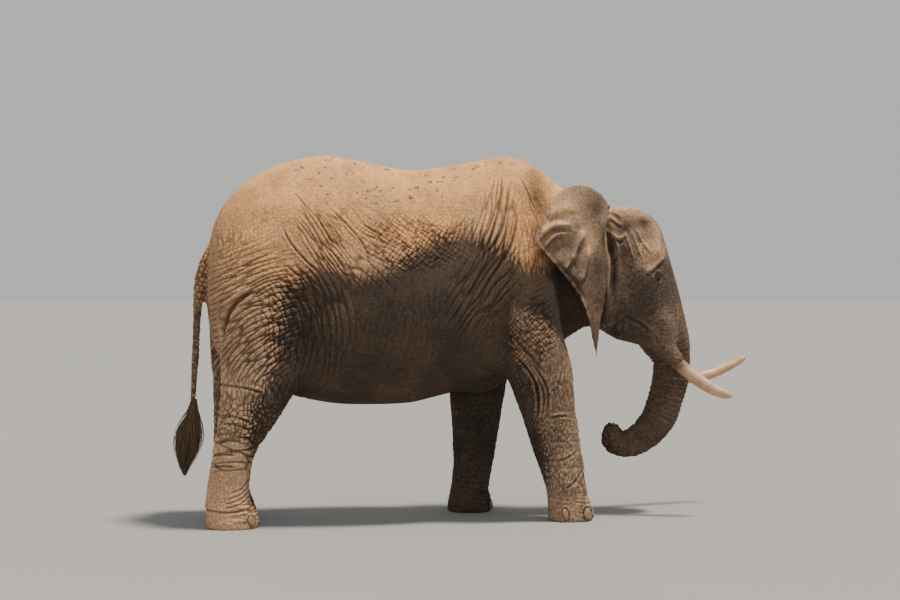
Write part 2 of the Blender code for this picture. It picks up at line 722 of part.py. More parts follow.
# Cuts across the trunk: place along it, size of the plate.
TRUNK_CUTS = [(0.46, 0.50), (0.60, 0.40), (0.76, 0.36), (0.89, 0.28)]
BODY_PLACES = {
    "rump": (-1.25, 0, 1.7),
    "barrel": (-0.48, 0, 1.6),
    "chest": (0.35, 0, 1.7),
    "neck": (0.93, 0, 1.7),
    "head": (1.3, 0, 1.7),
    "trunk_base": (1.56, 0, 1.22),
    "trunk_upper": (1.58, 0, 0.98),
    "trunk_middle": (1.52, 0, 0.74),
    "trunk_lower": (1.33, 0, 0.53),
    "trunk_tip": (1.16, 0, 0.52),
}
TAIL_PLACES = {"tail_root": (-1.69, 0, 1.55), "tail_whip": (-1.75, 0, 1.05)}
LEGS = {"fore": FORELEG, "hind": HINDLEG}
LEG_CUTS = {"fore": (0.86, 0.24), "hind": (0.72, 0.22)}  # heights of the cuts below the upper leg
LEG_LENGTHS = {"fore": ("upper_arm", "forearm", "forefoot"), "hind": ("thigh", "shank", "hindfoot")}


def leg_middle(stations, height):
    """The fore-and-aft middle of a leg at a height."""
    heights = [row[2] for row in stations][::-1]
    middles = [row[0] for row in stations][::-1]
    return float(np.interp(height, heights, middles))


def leg_cell(side, sign, end):
    stations = LEGS[end][side]
    bm = bmesh.new()
    rings = []
    for z, rear, front, inner, outer in LEG_CELLS[end]:
        x = leg_middle(stations, z)
        low, high = sorted((sign * inner, sign * outer))
        corners = ((x + rear, low), (x + front, low), (x + front, high), (x + rear, high))
        rings.append([Vector((a, b, z)) for a, b in corners])
    add_loft(bm, rings)
    return object_from_bmesh("leg_cell", bm)


def take(obj, cell):
    """Cuts out of obj what lies in the cell, and returns it."""
    piece = copy_of(obj, "piece")
    boolean(piece, cell, "INTERSECT")
    wider = swollen(cell, GAP)
    boolean(obj, wider, "DIFFERENCE")
    remove(wider)
    return piece


def slit(obj, blades):
    """Cuts obj with thin blades and returns the pieces, each as its own object."""
    for blade in blades:
        boolean(obj, blade, "DIFFERENCE")
    remove(*blades)
    return loose_parts(obj)


def loose_parts(obj):
    """Replaces obj by one object for each of its separate bodies, leaving out crumbs."""
    bm = bmesh.new()
    bm.from_mesh(obj.data)
    left = set(bm.verts)
    bodies = []
    while left:
        body, edge = set(), {left.pop()}
        while edge:
            body |= edge
            edge = {other for v in edge for e in v.link_edges for other in e.verts} - body
        left -= body
        bodies.append({v.index for v in body})
    bm.free()
    made = []
    for body in bodies:
        part = copy_of(obj, "part")
        bm = bmesh.new()
        bm.from_mesh(part.data)
        bm.verts.ensure_lookup_table()
        bmesh.ops.delete(bm, geom=[v for v in bm.verts if v.index not in body], context="VERTS")
        if abs(bm.calc_volume()) > SMALLEST_BODY:
            bm.to_mesh(part.data)
            made.append(part)
        else:
            remove(part)
        bm.free()
    remove(obj)
    return made


def middle(obj):
    points, _ = points_and_normals(obj.data)
    return (points.min(0) + points.max(0)) / 2


def blade(point, turn, size):
    """A thin square plate across the middle plane; turn 0 is upright across the body, 90 is level."""
    x, y, z = point
    return box("blade", (x, y, z), (GAP, size, size), turn)


def trunk_blades():
    """Plates square to the trunk at a few places along it, and one across its root."""
    path = smooth_rows([(x, 0, z) for x, z, _, _ in TRUNK], TRUNK_SAMPLES)
    made = [blade(*TRUNK_ROOT_CUT)]
    for place, size in TRUNK_CUTS:
        i = round(place * (TRUNK_SAMPLES - 1))
        heading = path[i + 1] - path[i - 1]
        turn = -math.degrees(math.atan2(heading[2], heading[0]))
        made.append(blade(path[i], turn, size))
    return made


def jaw_cell():
    """The space of the lower jaw, under the line of the mouth."""
    bm = bmesh.new()
    rings = []
    for x, high, wide in JAW_CELL:
        corners = ((-wide, JAW_CELL_FLOOR), (wide, JAW_CELL_FLOOR), (wide, high), (-wide, high))
        rings.append([Vector((x, y, z)) for y, z in corners])
    add_loft(bm, rings)
    return object_from_bmesh("jaw_cell", bm)


def name_by_place(parts, places):
    """Names each part after the nearest of the places, which must be a different one for each."""
    for part in parts:
        part.name = min(places, key=lambda name: np.linalg.norm(middle(part) - np.array(places[name])))


def parted_leg(whole, side, sign, end):
    """Takes one leg out of the flesh in three lengths."""
    cell = leg_cell(side, sign, end)
    leg = take(whole, cell)
    remove(cell)
    stations = LEGS[end][side]
    blades = []
    for height in LEG_CUTS[end]:
        x = leg_middle(stations, height)
        rise = leg_middle(stations, height + 0.1) - leg_middle(stations, height - 0.1)
        lean = math.degrees(math.atan2(rise, 0.2))
        blades.append(blade((x, sign * FOOT_TRACK, height), 90 + lean, 1.0))
    lengths = sorted(slit(leg, blades), key=lambda part: -middle(part)[2])
    for part, name in zip(lengths, LEG_LENGTHS[end], strict=True):
        part.name = f"{side}_{name}"
    return lengths


def largest(parts):
    """Keeps the part of most volume and removes the rest."""
    parts.sort(key=lambda part: -np.prod(part.dimensions))
    remove(*parts[1:])
    return parts[0]


def fitted(obj, neighbour):
    """Cuts obj back to where it clears its neighbour, and keeps its main body."""
    name = obj.name
    wider = swollen(neighbour, GAP)
    boolean(obj, wider, "DIFFERENCE")
    remove(wider)
    kept = largest(loose_parts(obj))
    kept.name = name
    return kept


def let_in(flesh, insert):
    """Cuts the insert's socket into the flesh, with clearance."""
    wider = swollen(insert, GAP)
    boolean(flesh, wider, "DIFFERENCE")
    remove(wider)


def colour(parts):
    """Gives each piece its own material in the tone of its kind and place."""
    for part in parts:
        kind = next(word for word in TONES if word in part.name)
        tone, roughness = TONES[kind]
        part.data.materials.clear()
        part.data.materials.append(material(part.name + "_surface", (*tone, 1), roughness))
        rounded = kind in ROUND_KINDS
        part.data.polygons.foreach_set("use_smooth", [rounded] * len(part.data.polygons))


def settle(parts):
    """Centres the animal over the origin, and each object's own origin in it, under one empty."""
    corners = np.vstack([points_and_normals(part.data)[0] for part in parts])
    across = (corners.min(0) + corners.max(0)) / 2
    across[2] = 0
    root = bpy.data.objects.new("elephant", None)
    bpy.context.scene.collection.objects.link(root)
    for part in parts:
        centre = middle(part)
        part.data.transform(Matrix.Translation(-Vector(centre)))
        part.location = centre - across
        part.parent = root


def build():
    whole = flesh_whole()
    tree = BVHTree.FromPolygons(
        [v.co for v in whole.data.vertices], [tuple(face.vertices) for face in whole.data.polygons]
    )
    eyes, hung = [], []
    for side, sign in SIDES.items():
        eyes.append(eye(side, sign, tree))
        hung += [tusk(side, sign), ear(side, sign)]
        for end, legs in LEGS.items():
            hung += nails(side, sign, end, legs, tree)
    whip, tuft = tail()
    hung = [fitted(part, whole) for part in hung]
    whip = fitted(fitted(whip, whole), tuft)
    for eyeball in eyes:
        let_in(whole, eyeball)
    legs = []
    for end in LEGS:
        for side, sign in SIDES.items():
            legs += parted_leg(whole, side, sign, end)
    cell = jaw_cell()
    jaw = take(whole, cell)
    remove(cell)
    jaw.name = "lower_jaw"
    trunk_and_body = slit(whole, [blade(*cut) for cut in BODY_CUTS] + trunk_blades())
    name_by_place(trunk_and_body, BODY_PLACES)
    tail_lengths = slit(whip, [blade((TAIL[4][0], 0, TAIL_PART_AT), 90, 0.4)])
    name_by_place(tail_lengths, TAIL_PLACES)
    parts = eyes + hung + [tuft, jaw] + legs + trunk_and_body + tail_lengths
    colour(parts)
    settle(parts)


if __name__ == "__main__":
    clear_scene()
    build()
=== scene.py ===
"""Looks of the elephant figure: one hide over the flesh nodes, with eyes, ivory, nails and hair of its own.

Lengths are in metres. Places on the side view are given as (x, z), with x measured from a mark 0.1905
behind the frame's origin, as in the solids' own tables. A side is -1 for the right of the body and 1 for
the left.
"""

import math

import bmesh
import bpy
import numpy as np
from mathutils import Matrix, Vector
from mathutils.bvhtree import BVHTree


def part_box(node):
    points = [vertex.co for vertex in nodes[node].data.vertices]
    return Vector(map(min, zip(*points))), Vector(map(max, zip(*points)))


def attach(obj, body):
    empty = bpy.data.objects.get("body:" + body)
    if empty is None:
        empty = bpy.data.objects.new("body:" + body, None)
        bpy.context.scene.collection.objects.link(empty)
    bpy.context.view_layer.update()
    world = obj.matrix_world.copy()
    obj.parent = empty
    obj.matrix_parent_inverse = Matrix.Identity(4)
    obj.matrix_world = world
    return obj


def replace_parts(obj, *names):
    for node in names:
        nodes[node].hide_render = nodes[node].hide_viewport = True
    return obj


MARK = 0.1905  # how far behind the frame's origin x is measured from
SIDES = {"right": -1, "left": 1}

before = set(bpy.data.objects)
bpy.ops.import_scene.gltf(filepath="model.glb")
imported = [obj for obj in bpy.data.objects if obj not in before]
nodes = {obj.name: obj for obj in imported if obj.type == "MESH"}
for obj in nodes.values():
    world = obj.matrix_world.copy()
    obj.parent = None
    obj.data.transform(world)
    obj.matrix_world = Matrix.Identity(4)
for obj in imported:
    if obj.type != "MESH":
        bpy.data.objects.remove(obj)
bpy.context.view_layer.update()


# ---------------------------------------------------------------- numbers
def ramp(value, low, high):
    """0 below low, 1 above high, and a smooth rise between them; it falls where low is above high."""
    t = np.clip((value - low) / (high - low), 0, 1)
    return t * t * (3 - 2 * t)


def random_at(cell, seed):
    """A steady random number from 0 to 1 for each whole-numbered cell, given by its coordinates."""
    primes = (0x8DA6B343, 0xD8163841, 0xCB1AB31F)
    h = np.full(cell[0].shape, (seed * 0x9E3779B1 + 0x85EBCA6B) & 0xFFFFFFFF, np.uint32)
    for axis, prime in zip(cell, primes):
        h ^= axis.astype(np.int64).astype(np.uint32) * np.uint32(prime)
        h ^= h >> np.uint32(15)
        h *= np.uint32(0x2C1B3C6D)
        h ^= h >> np.uint32(12)
    return (h & np.uint32(0xFFFFFF)).astype(np.float32) / np.float32(0x1000000)


def noise(points, size, seed=0, octaves=1):
    """Smooth random values from -1 to 1 at the points, in lumps about size across."""
    total, weight, share = np.zeros(len(points), np.float32), 0.0, 1.0
    for octave in range(octaves):
        scaled = points.astype(np.float32) * np.float32(2**octave / size)
        base = np.floor(scaled)
        part = scaled - base
        part = part * part * (3 - 2 * part)
        value = np.zeros(len(points), np.float32)
        for corner in range(8):
            step = np.array([corner & 1, corner >> 1 & 1, corner >> 2 & 1], np.float32)
            near = np.where(step > 0, part, 1 - part).prod(axis=1)
            value += near * random_at(list((base + step).T), seed + octave * 7)
        total += share * (2 * value - 1)
        weight += share
        share *= 0.5
    return total / weight


def cells(coordinates, seed):
    """Distance to the nearest and to the second nearest of points scattered one to a unit cell."""
    places = np.stack(coordinates).astype(np.float32)
    base = np.floor(places)
    nearest = np.full(places.shape[1], 9, np.float32)
    second = nearest.copy()
    for index in range(3 ** len(places)):
        step = np.array([index // 3**axis % 3 - 1 for axis in range(len(places))], np.float32)
        cell = base + step[:, None]
        squared = np.zeros_like(nearest)
        for axis in range(len(places)):
            jitter = 0.12 + 0.76 * random_at(list(cell), seed * 11 + axis)
            squared += (cell[axis] + jitter - places[axis]) ** 2
        second = np.minimum(second, np.maximum(nearest, squared))
        nearest = np.minimum(nearest, squared)
    return np.sqrt(nearest), np.sqrt(second)


def smooth_line(points, count):
    """The points of a smooth curve through the given ones."""
    points = np.array(points, float)
    padded = np.vstack([2 * points[0] - points[1], points, 2 * points[-1] - points[-2]])
    made = []
    for place in np.linspace(0, len(points) - 1, count):
        i = min(int(place), len(points) - 2)
        t = place - i
        a, b, c, d = padded[i : i + 4]
        bend = (2 * a - 5 * b + 4 * c - d) * t * t
        made.append(0.5 * (2 * b + (c - a) * t + bend + (3 * b - a - 3 * c + d) * t**3))
    return np.array(made)


# ---------------------------------------------------------------- meshes
def link(obj):
    bpy.context.scene.collection.objects.link(obj)
    return obj


def evaluated(obj):
    """A new mesh of obj with its modifiers applied."""
    graph = bpy.context.evaluated_depsgraph_get()
    return bpy.data.meshes.new_from_object(obj.evaluated_get(graph))


def replace_mesh(obj, mesh):
    old = obj.data
    obj.modifiers.clear()
    obj.data = mesh
    bpy.data.meshes.remove(old)


def points_of(mesh):
    flat = np.empty(len(mesh.vertices) * 3, np.float32)
    mesh.vertices.foreach_get("co", flat)
    return flat.reshape(-1, 3).astype(float)


def normals_of(mesh):
    flat = np.empty(len(mesh.vertices) * 3, np.float32)
    mesh.vertex_normals.foreach_get("vector", flat)
    return flat.reshape(-1, 3).astype(float)


def edges_of(mesh):
    flat = np.empty(len(mesh.edges) * 2, np.int32)
    mesh.edges.foreach_get("vertices", flat)
    return flat.reshape(-1, 2)


def put_points(mesh, points):
    mesh.vertices.foreach_set("co", points.astype(np.float32).ravel())
    mesh.update()


def attribute(mesh, name, values):
    layer = mesh.attributes.new(name, "FLOAT", "POINT")
    layer.data.foreach_set("value", values.astype(np.float32))


def shade_smooth(mesh):
    mesh.polygons.foreach_set("use_smooth", np.ones(len(mesh.polygons), bool))


def mesh_from(bm, name):
    """A new mesh with the faces of a bmesh, which is freed."""
    mesh = bpy.data.meshes.new(name)
    bm.to_mesh(mesh)
    bm.free()
    return mesh


def node_faces(name):
    """The faces of a node as a bmesh, with the points joined that share a place."""
    part = bmesh.new()
    part.from_mesh(nodes[name].data)
    bmesh.ops.remove_doubles(part, verts=part.verts, dist=1e-5)
    return part


def joined_mesh(meshes, name):
    """One mesh with the faces of several, which are removed."""
    joined = bmesh.new()
    for mesh in meshes:
        joined.from_mesh(mesh)
        bpy.data.meshes.remove(mesh)
    return mesh_from(joined, name)


def wear_down(mesh, depth, size, seed, octaves=1, stretch=1.0):
    """Moves the points in and out by smooth noise, in lumps about size across."""
    points, normals = points_of(mesh), normals_of(mesh)
    rough = depth * noise(points * np.array([1, 1, stretch]), size, seed, octaves)
    put_points(mesh, points + normals * rough[:, None])


class Spread:
    """Passes values between neighbouring points of a mesh."""

    def __init__(self, mesh):
        edges = edges_of(mesh)
        self.near = np.concatenate([edges[:, 0], edges[:, 1]])
        self.far = np.concatenate([edges[:, 1], edges[:, 0]])
        self.count = len(mesh.vertices)
        self.ties = np.maximum(np.bincount(self.near, minlength=self.count), 1)

    def mean(self, values):
        """The mean of each point's neighbours."""
        if values.ndim == 1:
            return np.bincount(self.near, values[self.far], self.count) / self.ties
        return np.stack([self.mean(column) for column in values.T], axis=1)

    def relaxed(self, values, rounds, weight):
        for _ in range(rounds):
            values = values + weight * (self.mean(values) - values)
        return values


# ---------------------------------------------------------------- the hide's own mesh
EARS = ["right_ear", "left_ear"]
ROUND_PARTS = ("_eye", "_tusk", "_nail_1", "_nail_2", "_nail_3", "_nail_4", "tail_tuft")
FLESH = [name for name in nodes if not name.endswith(ROUND_PARTS)]
HIDE_VOXEL = 0.0132
# The skin round the root of each tusk, and the lower lip, as x, outwards, z and radius.
SHEATH = [
    (1.36, 0.140, 1.36, 0.060),
    (1.41, 0.172, 1.27, 0.070),
    (1.48, 0.195, 1.17, 0.070),
    (1.572, 0.228, 1.055, 0.057),
]
LOWER_LIP = [
    (1.14, 0.0, 1.34, 0.085),
    (1.26, 0.0, 1.285, 0.075),
    (1.36, 0.0, 1.235, 0.055),
    (1.43, 0.0, 1.165, 0.026),
]
# The curled end of the trunk, in the same way.
TRUNK_END = [
    (1.148, 0.0, 0.520, 0.066),
    (1.152, 0.0, 0.560, 0.074),
    (1.158, 0.0, 0.598, 0.064),
    (1.163, 0.0, 0.625, 0.040),
    (1.165, 0.0, 0.636, 0.014),
]
TUBE_RINGS, TUBE_POINTS = 12, 20
SWELL = 0.002  # how far each flesh node is swollen, so that the cuts between nodes close


def swollen_node(name):
    """The mesh of one flesh node, swollen a little. An ear is rounded too."""
    part = node_faces(name)
    part.normal_update()
    for vertex in part.verts:
        vertex.co += vertex.normal * SWELL
    mesh = mesh_from(part, name + "_copy")
    if name not in EARS:
        return mesh
    carrier = link(bpy.data.objects.new("carrier", mesh))
    carrier.modifiers.new("round", "SUBSURF").levels = 2
    replace_mesh(carrier, evaluated(carrier))
    mesh = carrier.data
    bpy.data.objects.remove(carrier)
    return mesh


def skin_tubes():
    """The tusks' sheaths, the lower lip and the end of the trunk, as meshes of their own."""
    sheaths = [[(x, side * out, z, radius) for x, out, z, radius in SHEATH] for side in SIDES.values()]
    meshes = []
    for path in (LOWER_LIP, TRUNK_END, *sheaths):
        rows = smooth_line(path, TUBE_RINGS)
        rows[:, 0] -= MARK
        meshes.append(mesh_from(tube(rows, TUBE_POINTS), "tube"))
    return meshes


def swollen_flesh():
    """One object that holds all the flesh nodes, each swollen a little, and the tubes of skin."""
    meshes = [swollen_node(name) for name in FLESH] + skin_tubes()
    return link(bpy.data.objects.new("hide", joined_mesh(meshes, "hide")))


def remesh(obj, size):
    modifier = obj.modifiers.new("remesh", "REMESH")
    modifier.mode = "VOXEL"
    modifier.voxel_size = size
    modifier.adaptivity = 0
    replace_mesh(obj, evaluated(obj))


def keep_largest(obj):
    """Leaves only the largest connected piece of the mesh."""
    edges = edges_of(obj.data)
    label = np.arange(len(obj.data.vertices))
    while True:
        lower = label.copy()
        np.minimum.at(lower, edges[:, 0], label[edges[:, 1]])
        np.minimum.at(lower, edges[:, 1], label[edges[:, 0]])
        lower = lower[lower]
        if (lower == label).all():
            break
        label = lower
    names, counts = np.unique(label, return_counts=True)
    stray = label != names[counts.argmax()]
    if stray.any():
        bm = bmesh.new()
        bm.from_mesh(obj.data)
        bm.verts.ensure_lookup_table()
        bmesh.ops.delete(bm, geom=[bm.verts[i] for i in np.flatnonzero(stray)], context="VERTS")
        bm.to_mesh(obj.data)
        bm.free()


def nearness(points, names, reach):
    """1 on the surface of the named nodes, falling to 0 at reach from it."""
    close = np.zeros(len(points))
    for name in names:
        low, high = (np.array(corner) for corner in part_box(name))
        inside = np.flatnonzero(((points > low - reach) & (points < high + reach)).all(axis=1))
        tree = BVHTree.FromPolygons(
            [v.co[:] for v in nodes[name].data.vertices],
            [p.vertices[:] for p in nodes[name].data.polygons],
        )
        for i in inside:
            found = tree.find_nearest(points[i], reach)
            if found[3] is not None:
                close[i] = max(close[i], 1 - found[3] / reach)
    return close


def smoothing_weight(points):
    """How strongly the facets are relaxed: fully on the body, less on the head and hardly on thin parts."""
    x, y, z = points[:, 0] + MARK, np.abs(points[:, 1]), points[:, 2]
    weight = np.ones(len(points))
    head = ramp(x, 1.0, 1.2)
    weight *= 1 - 0.62 * head
    weight *= 1 - 0.5 * ramp(z, 1.25, 1.0) * head
    weight *= 1 - 0.55 * ramp(z, 0.75, 0.45)
    tail = ramp(x, -1.62, -1.68) * ramp(y, 0.14, 0.09)
    weight *= 1 - 0.95 * tail
    ears = nearness(points, EARS, 0.03)
    weight *= 1 - 0.80 * ramp(ears, 0.05, 0.5) * ramp(x, 1.12, 1.0)
    return weight


SMOOTH_ROUNDS = 60
SOLE_DEPTH = 0.012  # points this near the lowest one lie on the floor


def smooth_hide(mesh):
    """Removes the facets of the solids from the hide, and keeps its bulk."""
    spread = Spread(mesh)
    points = points_of(mesh)
    floor = points[:, 2].min()
    weight = 0.5 * spread.relaxed(smoothing_weight(points), 6, 0.5)[:, None]
    once = spread.relaxed(points, SMOOTH_ROUNDS, weight)
    points = spread.relaxed(2 * points - once, SMOOTH_ROUNDS, weight)
    low = points[:, 2] < floor + SOLE_DEPTH
    points[low, 2] = 0.0
    points[:, 2] = np.maximum(points[:, 2], 0.0)
    put_points(mesh, points)


def refine(obj, spots):
    """Divides the mesh more finely round some places, given as (centre, radius)."""
    bm = bmesh.new()
    bm.from_mesh(obj.data)
    for centre, radius in spots:
        near = [e for e in bm.edges if all((v.co - centre).length < radius for v in e.verts)]
        bmesh.ops.subdivide_edges(bm, edges=near, cuts=1, use_grid_fill=True, smooth=0.0)
    bm.to_mesh(obj.data)
    bm.free()


def eye_centre(side_name):
    low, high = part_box(side_name + "_eye")
    return (low + high) / 2


def hide_mesh():
    """The smooth hide, fine enough for its folds."""
    obj = swollen_flesh()
    remesh(obj, HIDE_VOXEL)
    keep_largest(obj)
    smooth_hide(obj.data)
    spots = []
    for side_name in SIDES:
        centre = eye_centre(side_name)
        spots += [(centre, 0.13), (centre, 0.075)]
    spots.append((Vector((1.15 - MARK, 0, 0.60)), 0.11))
    refine(obj, spots)
    obj.modifiers.new("divide", "SUBSURF").levels = 1
    replace_mesh(obj, evaluated(obj))
    return obj


# ---------------------------------------------------------------- places on the body
# The middle of the trunk and of the tail on the side view.
TRUNK_LINE = [
    (1.36, 1.88), (1.43, 1.68), (1.49, 1.48), (1.546, 1.30), (1.583, 1.13), (1.578, 0.96),
    (1.545, 0.81), (1.488, 0.66), (1.405, 0.558), (1.31, 0.497), (1.225, 0.478), (1.163, 0.493),
    (1.138, 0.545), (1.150, 0.598),
]
TAIL_LINE = [
    (-1.58, 1.86), (-1.655, 1.77), (-1.705, 1.66), (-1.725, 1.50), (-1.735, 1.30), (-1.748, 1.05),
    (-1.768, 0.74),
]


def patch(body, centre, radii, turn=0.0):
    """1 in the middle of an ellipse on the side view, falling to 0 at its edge. turn is in degrees."""
    c, s = math.cos(math.radians(turn)), math.sin(math.radians(turn))
    dx, dz = body.x - centre[0], body.z - centre[1]
    return ramp(np.hypot((dx * c + dz * s) / radii[0], (dz * c - dx * s) / radii[1]), 1.0, 0.55)


def mound(body, centre, radii):
    """1 in the middle of an ellipse on the side view, falling away softly in all directions."""
    return np.exp(-2 * (((body.x - centre[0]) / radii[0]) ** 2 + ((body.z - centre[1]) / radii[1]) ** 2))


def along_line(body, line, near):
    """Length along a curve on the side view, and the distance from it, for the points that are near it."""
    curve = smooth_line(line, 60)
    lengths = np.concatenate([[0], np.cumsum(np.linalg.norm(np.diff(curve[:, :2], axis=0), axis=1))])
    length = np.full(len(body.x), -9.0)
    away = np.full(len(body.x), 9.0)
    pick = np.flatnonzero(near)
    px, pz = body.x[pick], body.z[pick]
    for i in range(len(curve) - 1):
        ax, az = curve[i, :2]
        dx, dz = curve[i + 1, :2] - curve[i, :2]
        t = np.clip(((px - ax) * dx + (pz - az) * dz) / (dx * dx + dz * dz), 0, 1)
        distance = np.hypot(px - ax - t * dx, pz - az - t * dz)
        closer = distance < away[pick]
        chosen = pick[closer]
        away[chosen] = distance[closer]
        length[chosen] = lengths[i] + t[closer] * (lengths[i + 1] - lengths[i])
    return length, away, lengths[-1]


class Body:
    """The points of the hide with the masks that say which part of the body each belongs to."""

    def __init__(self, mesh):
        self.points = points_of(mesh)
        self.normals = normals_of(mesh)
        self.x = self.points[:, 0] + MARK
        self.y = self.points[:, 1]
        self.z = self.points[:, 2]
        self.out = np.abs(self.y)
        self.flank = ramp(np.abs(self.normals[:, 1]), 0.12, 0.5)
        self.up = self.normals[:, 2]
        self.height = np.zeros(len(self.x), np.float32)
        # groove holds painted shade in grooves, cracks and hollows
        self.groove = np.zeros(len(self.x), np.float32)
        # rim holds painted highlight along lit ridges and rims
        self.rim = np.zeros(len(self.x), np.float32)
        self.find_parts()

    def find_parts(self):
        x, z, out = self.x, self.z, self.out
        close = nearness(self.points, EARS, 0.06)
        self.ear = ramp(close, 0.25, 0.60) * ramp(x, 1.10, 1.04) * ramp(out, 0.19, 0.25)
        near_trunk = (x > 1.03) & (z < 1.75) & (out < 0.24)
        self.along_trunk, away, self.trunk_length = along_line(self, TRUNK_LINE, near_trunk)
        self.trunk = ramp(away, 0.21, 0.13) * ramp(self.along_trunk, 0.30, 0.75)
        near_tail = (x < -1.45) & (out < 0.16) & (z < 1.95)
        self.along_tail, away, _ = along_line(self, TAIL_LINE, near_tail)
        self.tail = ramp(away, 0.085, 0.06) * ramp(out, 0.10, 0.07) * ramp(self.along_tail, 0.02, 0.10)
        self.head = ramp(x, 1.04, 1.14) * (1 - self.ear) * (1 - self.trunk)
        self.fore_leg = ramp(z, 1.16, 0.92) * ramp(x, -0.10, 0.02) * ramp(x, 1.0, 0.9)
        self.hind_leg = ramp(z, 1.16, 0.92) * ramp(x, -0.92, -1.05) * (1 - self.tail)
        others = [self.ear, self.head, self.trunk, self.tail, self.fore_leg, self.hind_leg]
        self.trunk_of_body = 1 - np.maximum.reduce(others)

    def warped(self, size, amount, seed):
        """The points, each shifted by smooth noise, as x, y and z."""
        shift = [noise(self.points, size, seed + axis) * amount for axis in range(3)]
        return self.x + shift[0], self.y + shift[1], self.z + shift[2]

    def carve(self, mask, coordinates, sizes, depth, seed, edge=0.34, dark=1.0, pillow=0.35):
        """Grooves between cells of the given sizes, where mask is above 0, and a soft swelling on each; dark
        is the painted shade laid in the grooves.
        """
        pick = np.flatnonzero(mask > 0.02)
        if not len(pick):
            return
        nearest, second = cells([c[pick] / size for c, size in zip(coordinates, sizes)], seed)
        groove = ramp(second - nearest, edge, 0.0)
        swelling = pillow * (0.45 - np.minimum(nearest, 0.9))
        self.height[pick] += depth * mask[pick] * (swelling - groove)
        self.groove[pick] = np.maximum(self.groove[pick], dark * mask[pick] * groove)

    def stroke(self, line, depth, width, lip=0.5, only=None, dark=1.0, mask=None, lit=0.0):
        """One groove along a curve on the side view, with a raised lip on either side.

        A depth below 0 makes a ridge. dark is the painted shade laid in a groove, and lit the painted
        highlight along the line.
        """
        curve = smooth_line(line, 5 * len(line))
        low, high = curve.min(axis=0) - 4 * width, curve.max(axis=0) + 4 * width
        inside = (self.x > low[0]) & (self.x < high[0]) & (self.z > low[1]) & (self.z < high[1])
        if only is not None:
            inside &= self.y * only > 0
        if mask is not None:
            inside &= mask > 0.02
        pick = np.flatnonzero(inside)
        px, pz = self.x[pick], self.z[pick]
        away = np.full(len(pick), 9.0)
        place = np.zeros(len(pick))
        for i in range(len(curve) - 1):
            dx, dz = curve[i + 1] - curve[i]
            t = np.clip(((px - curve[i, 0]) * dx + (pz - curve[i, 1]) * dz) / (dx * dx + dz * dz), 0, 1)
            distance = np.hypot(px - curve[i, 0] - t * dx, pz - curve[i, 1] - t * dz)
            closer = distance < away
            away[closer] = distance[closer]
            place[closer] = (i + t[closer]) / (len(curve) - 1)
        taper = ramp(place, 0, 0.2) * ramp(place, 1, 0.75)
        if mask is not None:
            taper = taper * mask[pick]
        groove = np.exp(-((away / width) ** 2))
        lips = np.exp(-(((away - 1.9 * width) / width) ** 2))
        self.height[pick] += depth * taper * (lip * lips - groove)
        if depth > 0:
            self.groove[pick] = np.maximum(self.groove[pick], dark * taper * groove)
        self.rim[pick] = np.maximum(self.rim[pick], lit * taper * groove)


def arcs(x, z, centre):
    """Coordinates across and along circles round a centre on the side view."""
    radius = np.hypot(x - centre[0], z - centre[1])
    return radius, np.arctan2(z - centre[1], x - centre[0]) * 0.8


def lines(x, z, slope):
    """Coordinates across and along straight lines that rise forwards by slope, in degrees."""
    c, s = math.cos(math.radians(slope)), math.sin(math.radians(slope))
    return z * c - x * s, x * c + z * s


# ---------------------------------------------------------------- folds and wrinkles
def fold_thigh(body):
    """Crescent folds over the buttock and thigh, crossed by short cracks at the front."""
    skin = body.trunk_of_body + body.hind_leg * ramp(body.z, 0.85, 1.05)
    skin = np.clip(skin, 0, 1) * ramp(np.abs(body.normals[:, 1]), 0.02, 0.30) * (1 - body.tail)
    x, _, z = body.warped(0.16, 0.016, 21)
    thigh = patch(body, (-1.40, 1.40), (0.46, 0.60), -10) * skin
    body.carve(thigh, arcs(x, z, (-0.95, 0.62)), (0.032, 0.20), 0.0100, 31, edge=0.42, dark=0.66)
    body.carve(thigh, arcs(x, z, (-1.05, 0.55)), (0.020, 0.075), 0.0036, 35, edge=0.42, dark=0.45, pillow=0.3)
    front = patch(body, (-1.14, 1.42), (0.30, 0.42)) * skin
    body.carve(front, arcs(x, z, (-1.62, 1.26)), (0.034, 0.24), 0.0075, 32, edge=0.40, dark=0.7, pillow=0.2)
    shade = patch(body, (-0.98, 1.34), (0.34, 0.46)) * skin
    body.carve(shade, arcs(x, z, (-1.70, 1.20)), (0.045, 0.34), 0.008, 33, edge=0.36, dark=0.5, pillow=0.2)
    upper = patch(body, (-1.50, 1.86), (0.16, 0.20)) * skin
    body.carve(upper, lines(x, z, 70), (0.030, 0.16), 0.004, 34, edge=0.34, dark=0.5, pillow=0.1)


def fold_flank(body):
    """Diagonal wrinkles in the hollow before the hip, and fine cross-hatching along the side."""
    skin = body.trunk_of_body * body.flank
    x, _, z = body.warped(0.14, 0.014, 41)
    hollow = patch(body, (-0.93, 1.90), (0.17, 0.30), 30) * skin
    body.carve(hollow, lines(x, z, -56), (0.026, 0.26), 0.0085, 42, edge=0.38, dark=0.75, pillow=0.2)
    diagonal = patch(body, (-0.66, 1.86), (0.48, 0.34), -20) * skin
    body.carve(diagonal, lines(x, z, -46), (0.055, 0.34), 0.0048, 43, edge=0.18, dark=0.55, pillow=0.15)
    hatch = patch(body, (-0.34, 1.88), (0.46, 0.24), -4) * skin
    body.carve(hatch, lines(x, z, 50), (0.026, 0.17), 0.0052, 44, edge=0.30, dark=0.75, pillow=0.12)
    body.carve(hatch, lines(x, z, -34), (0.030, 0.19), 0.0050, 45, edge=0.30, dark=0.75, pillow=0.12)
    side = patch(body, (-0.30, 1.42), (0.95, 0.42)) * skin
    body.carve(side, lines(x, z, 80), (0.045, 0.34), 0.0028, 46, edge=0.28, dark=0.25, pillow=0.15)


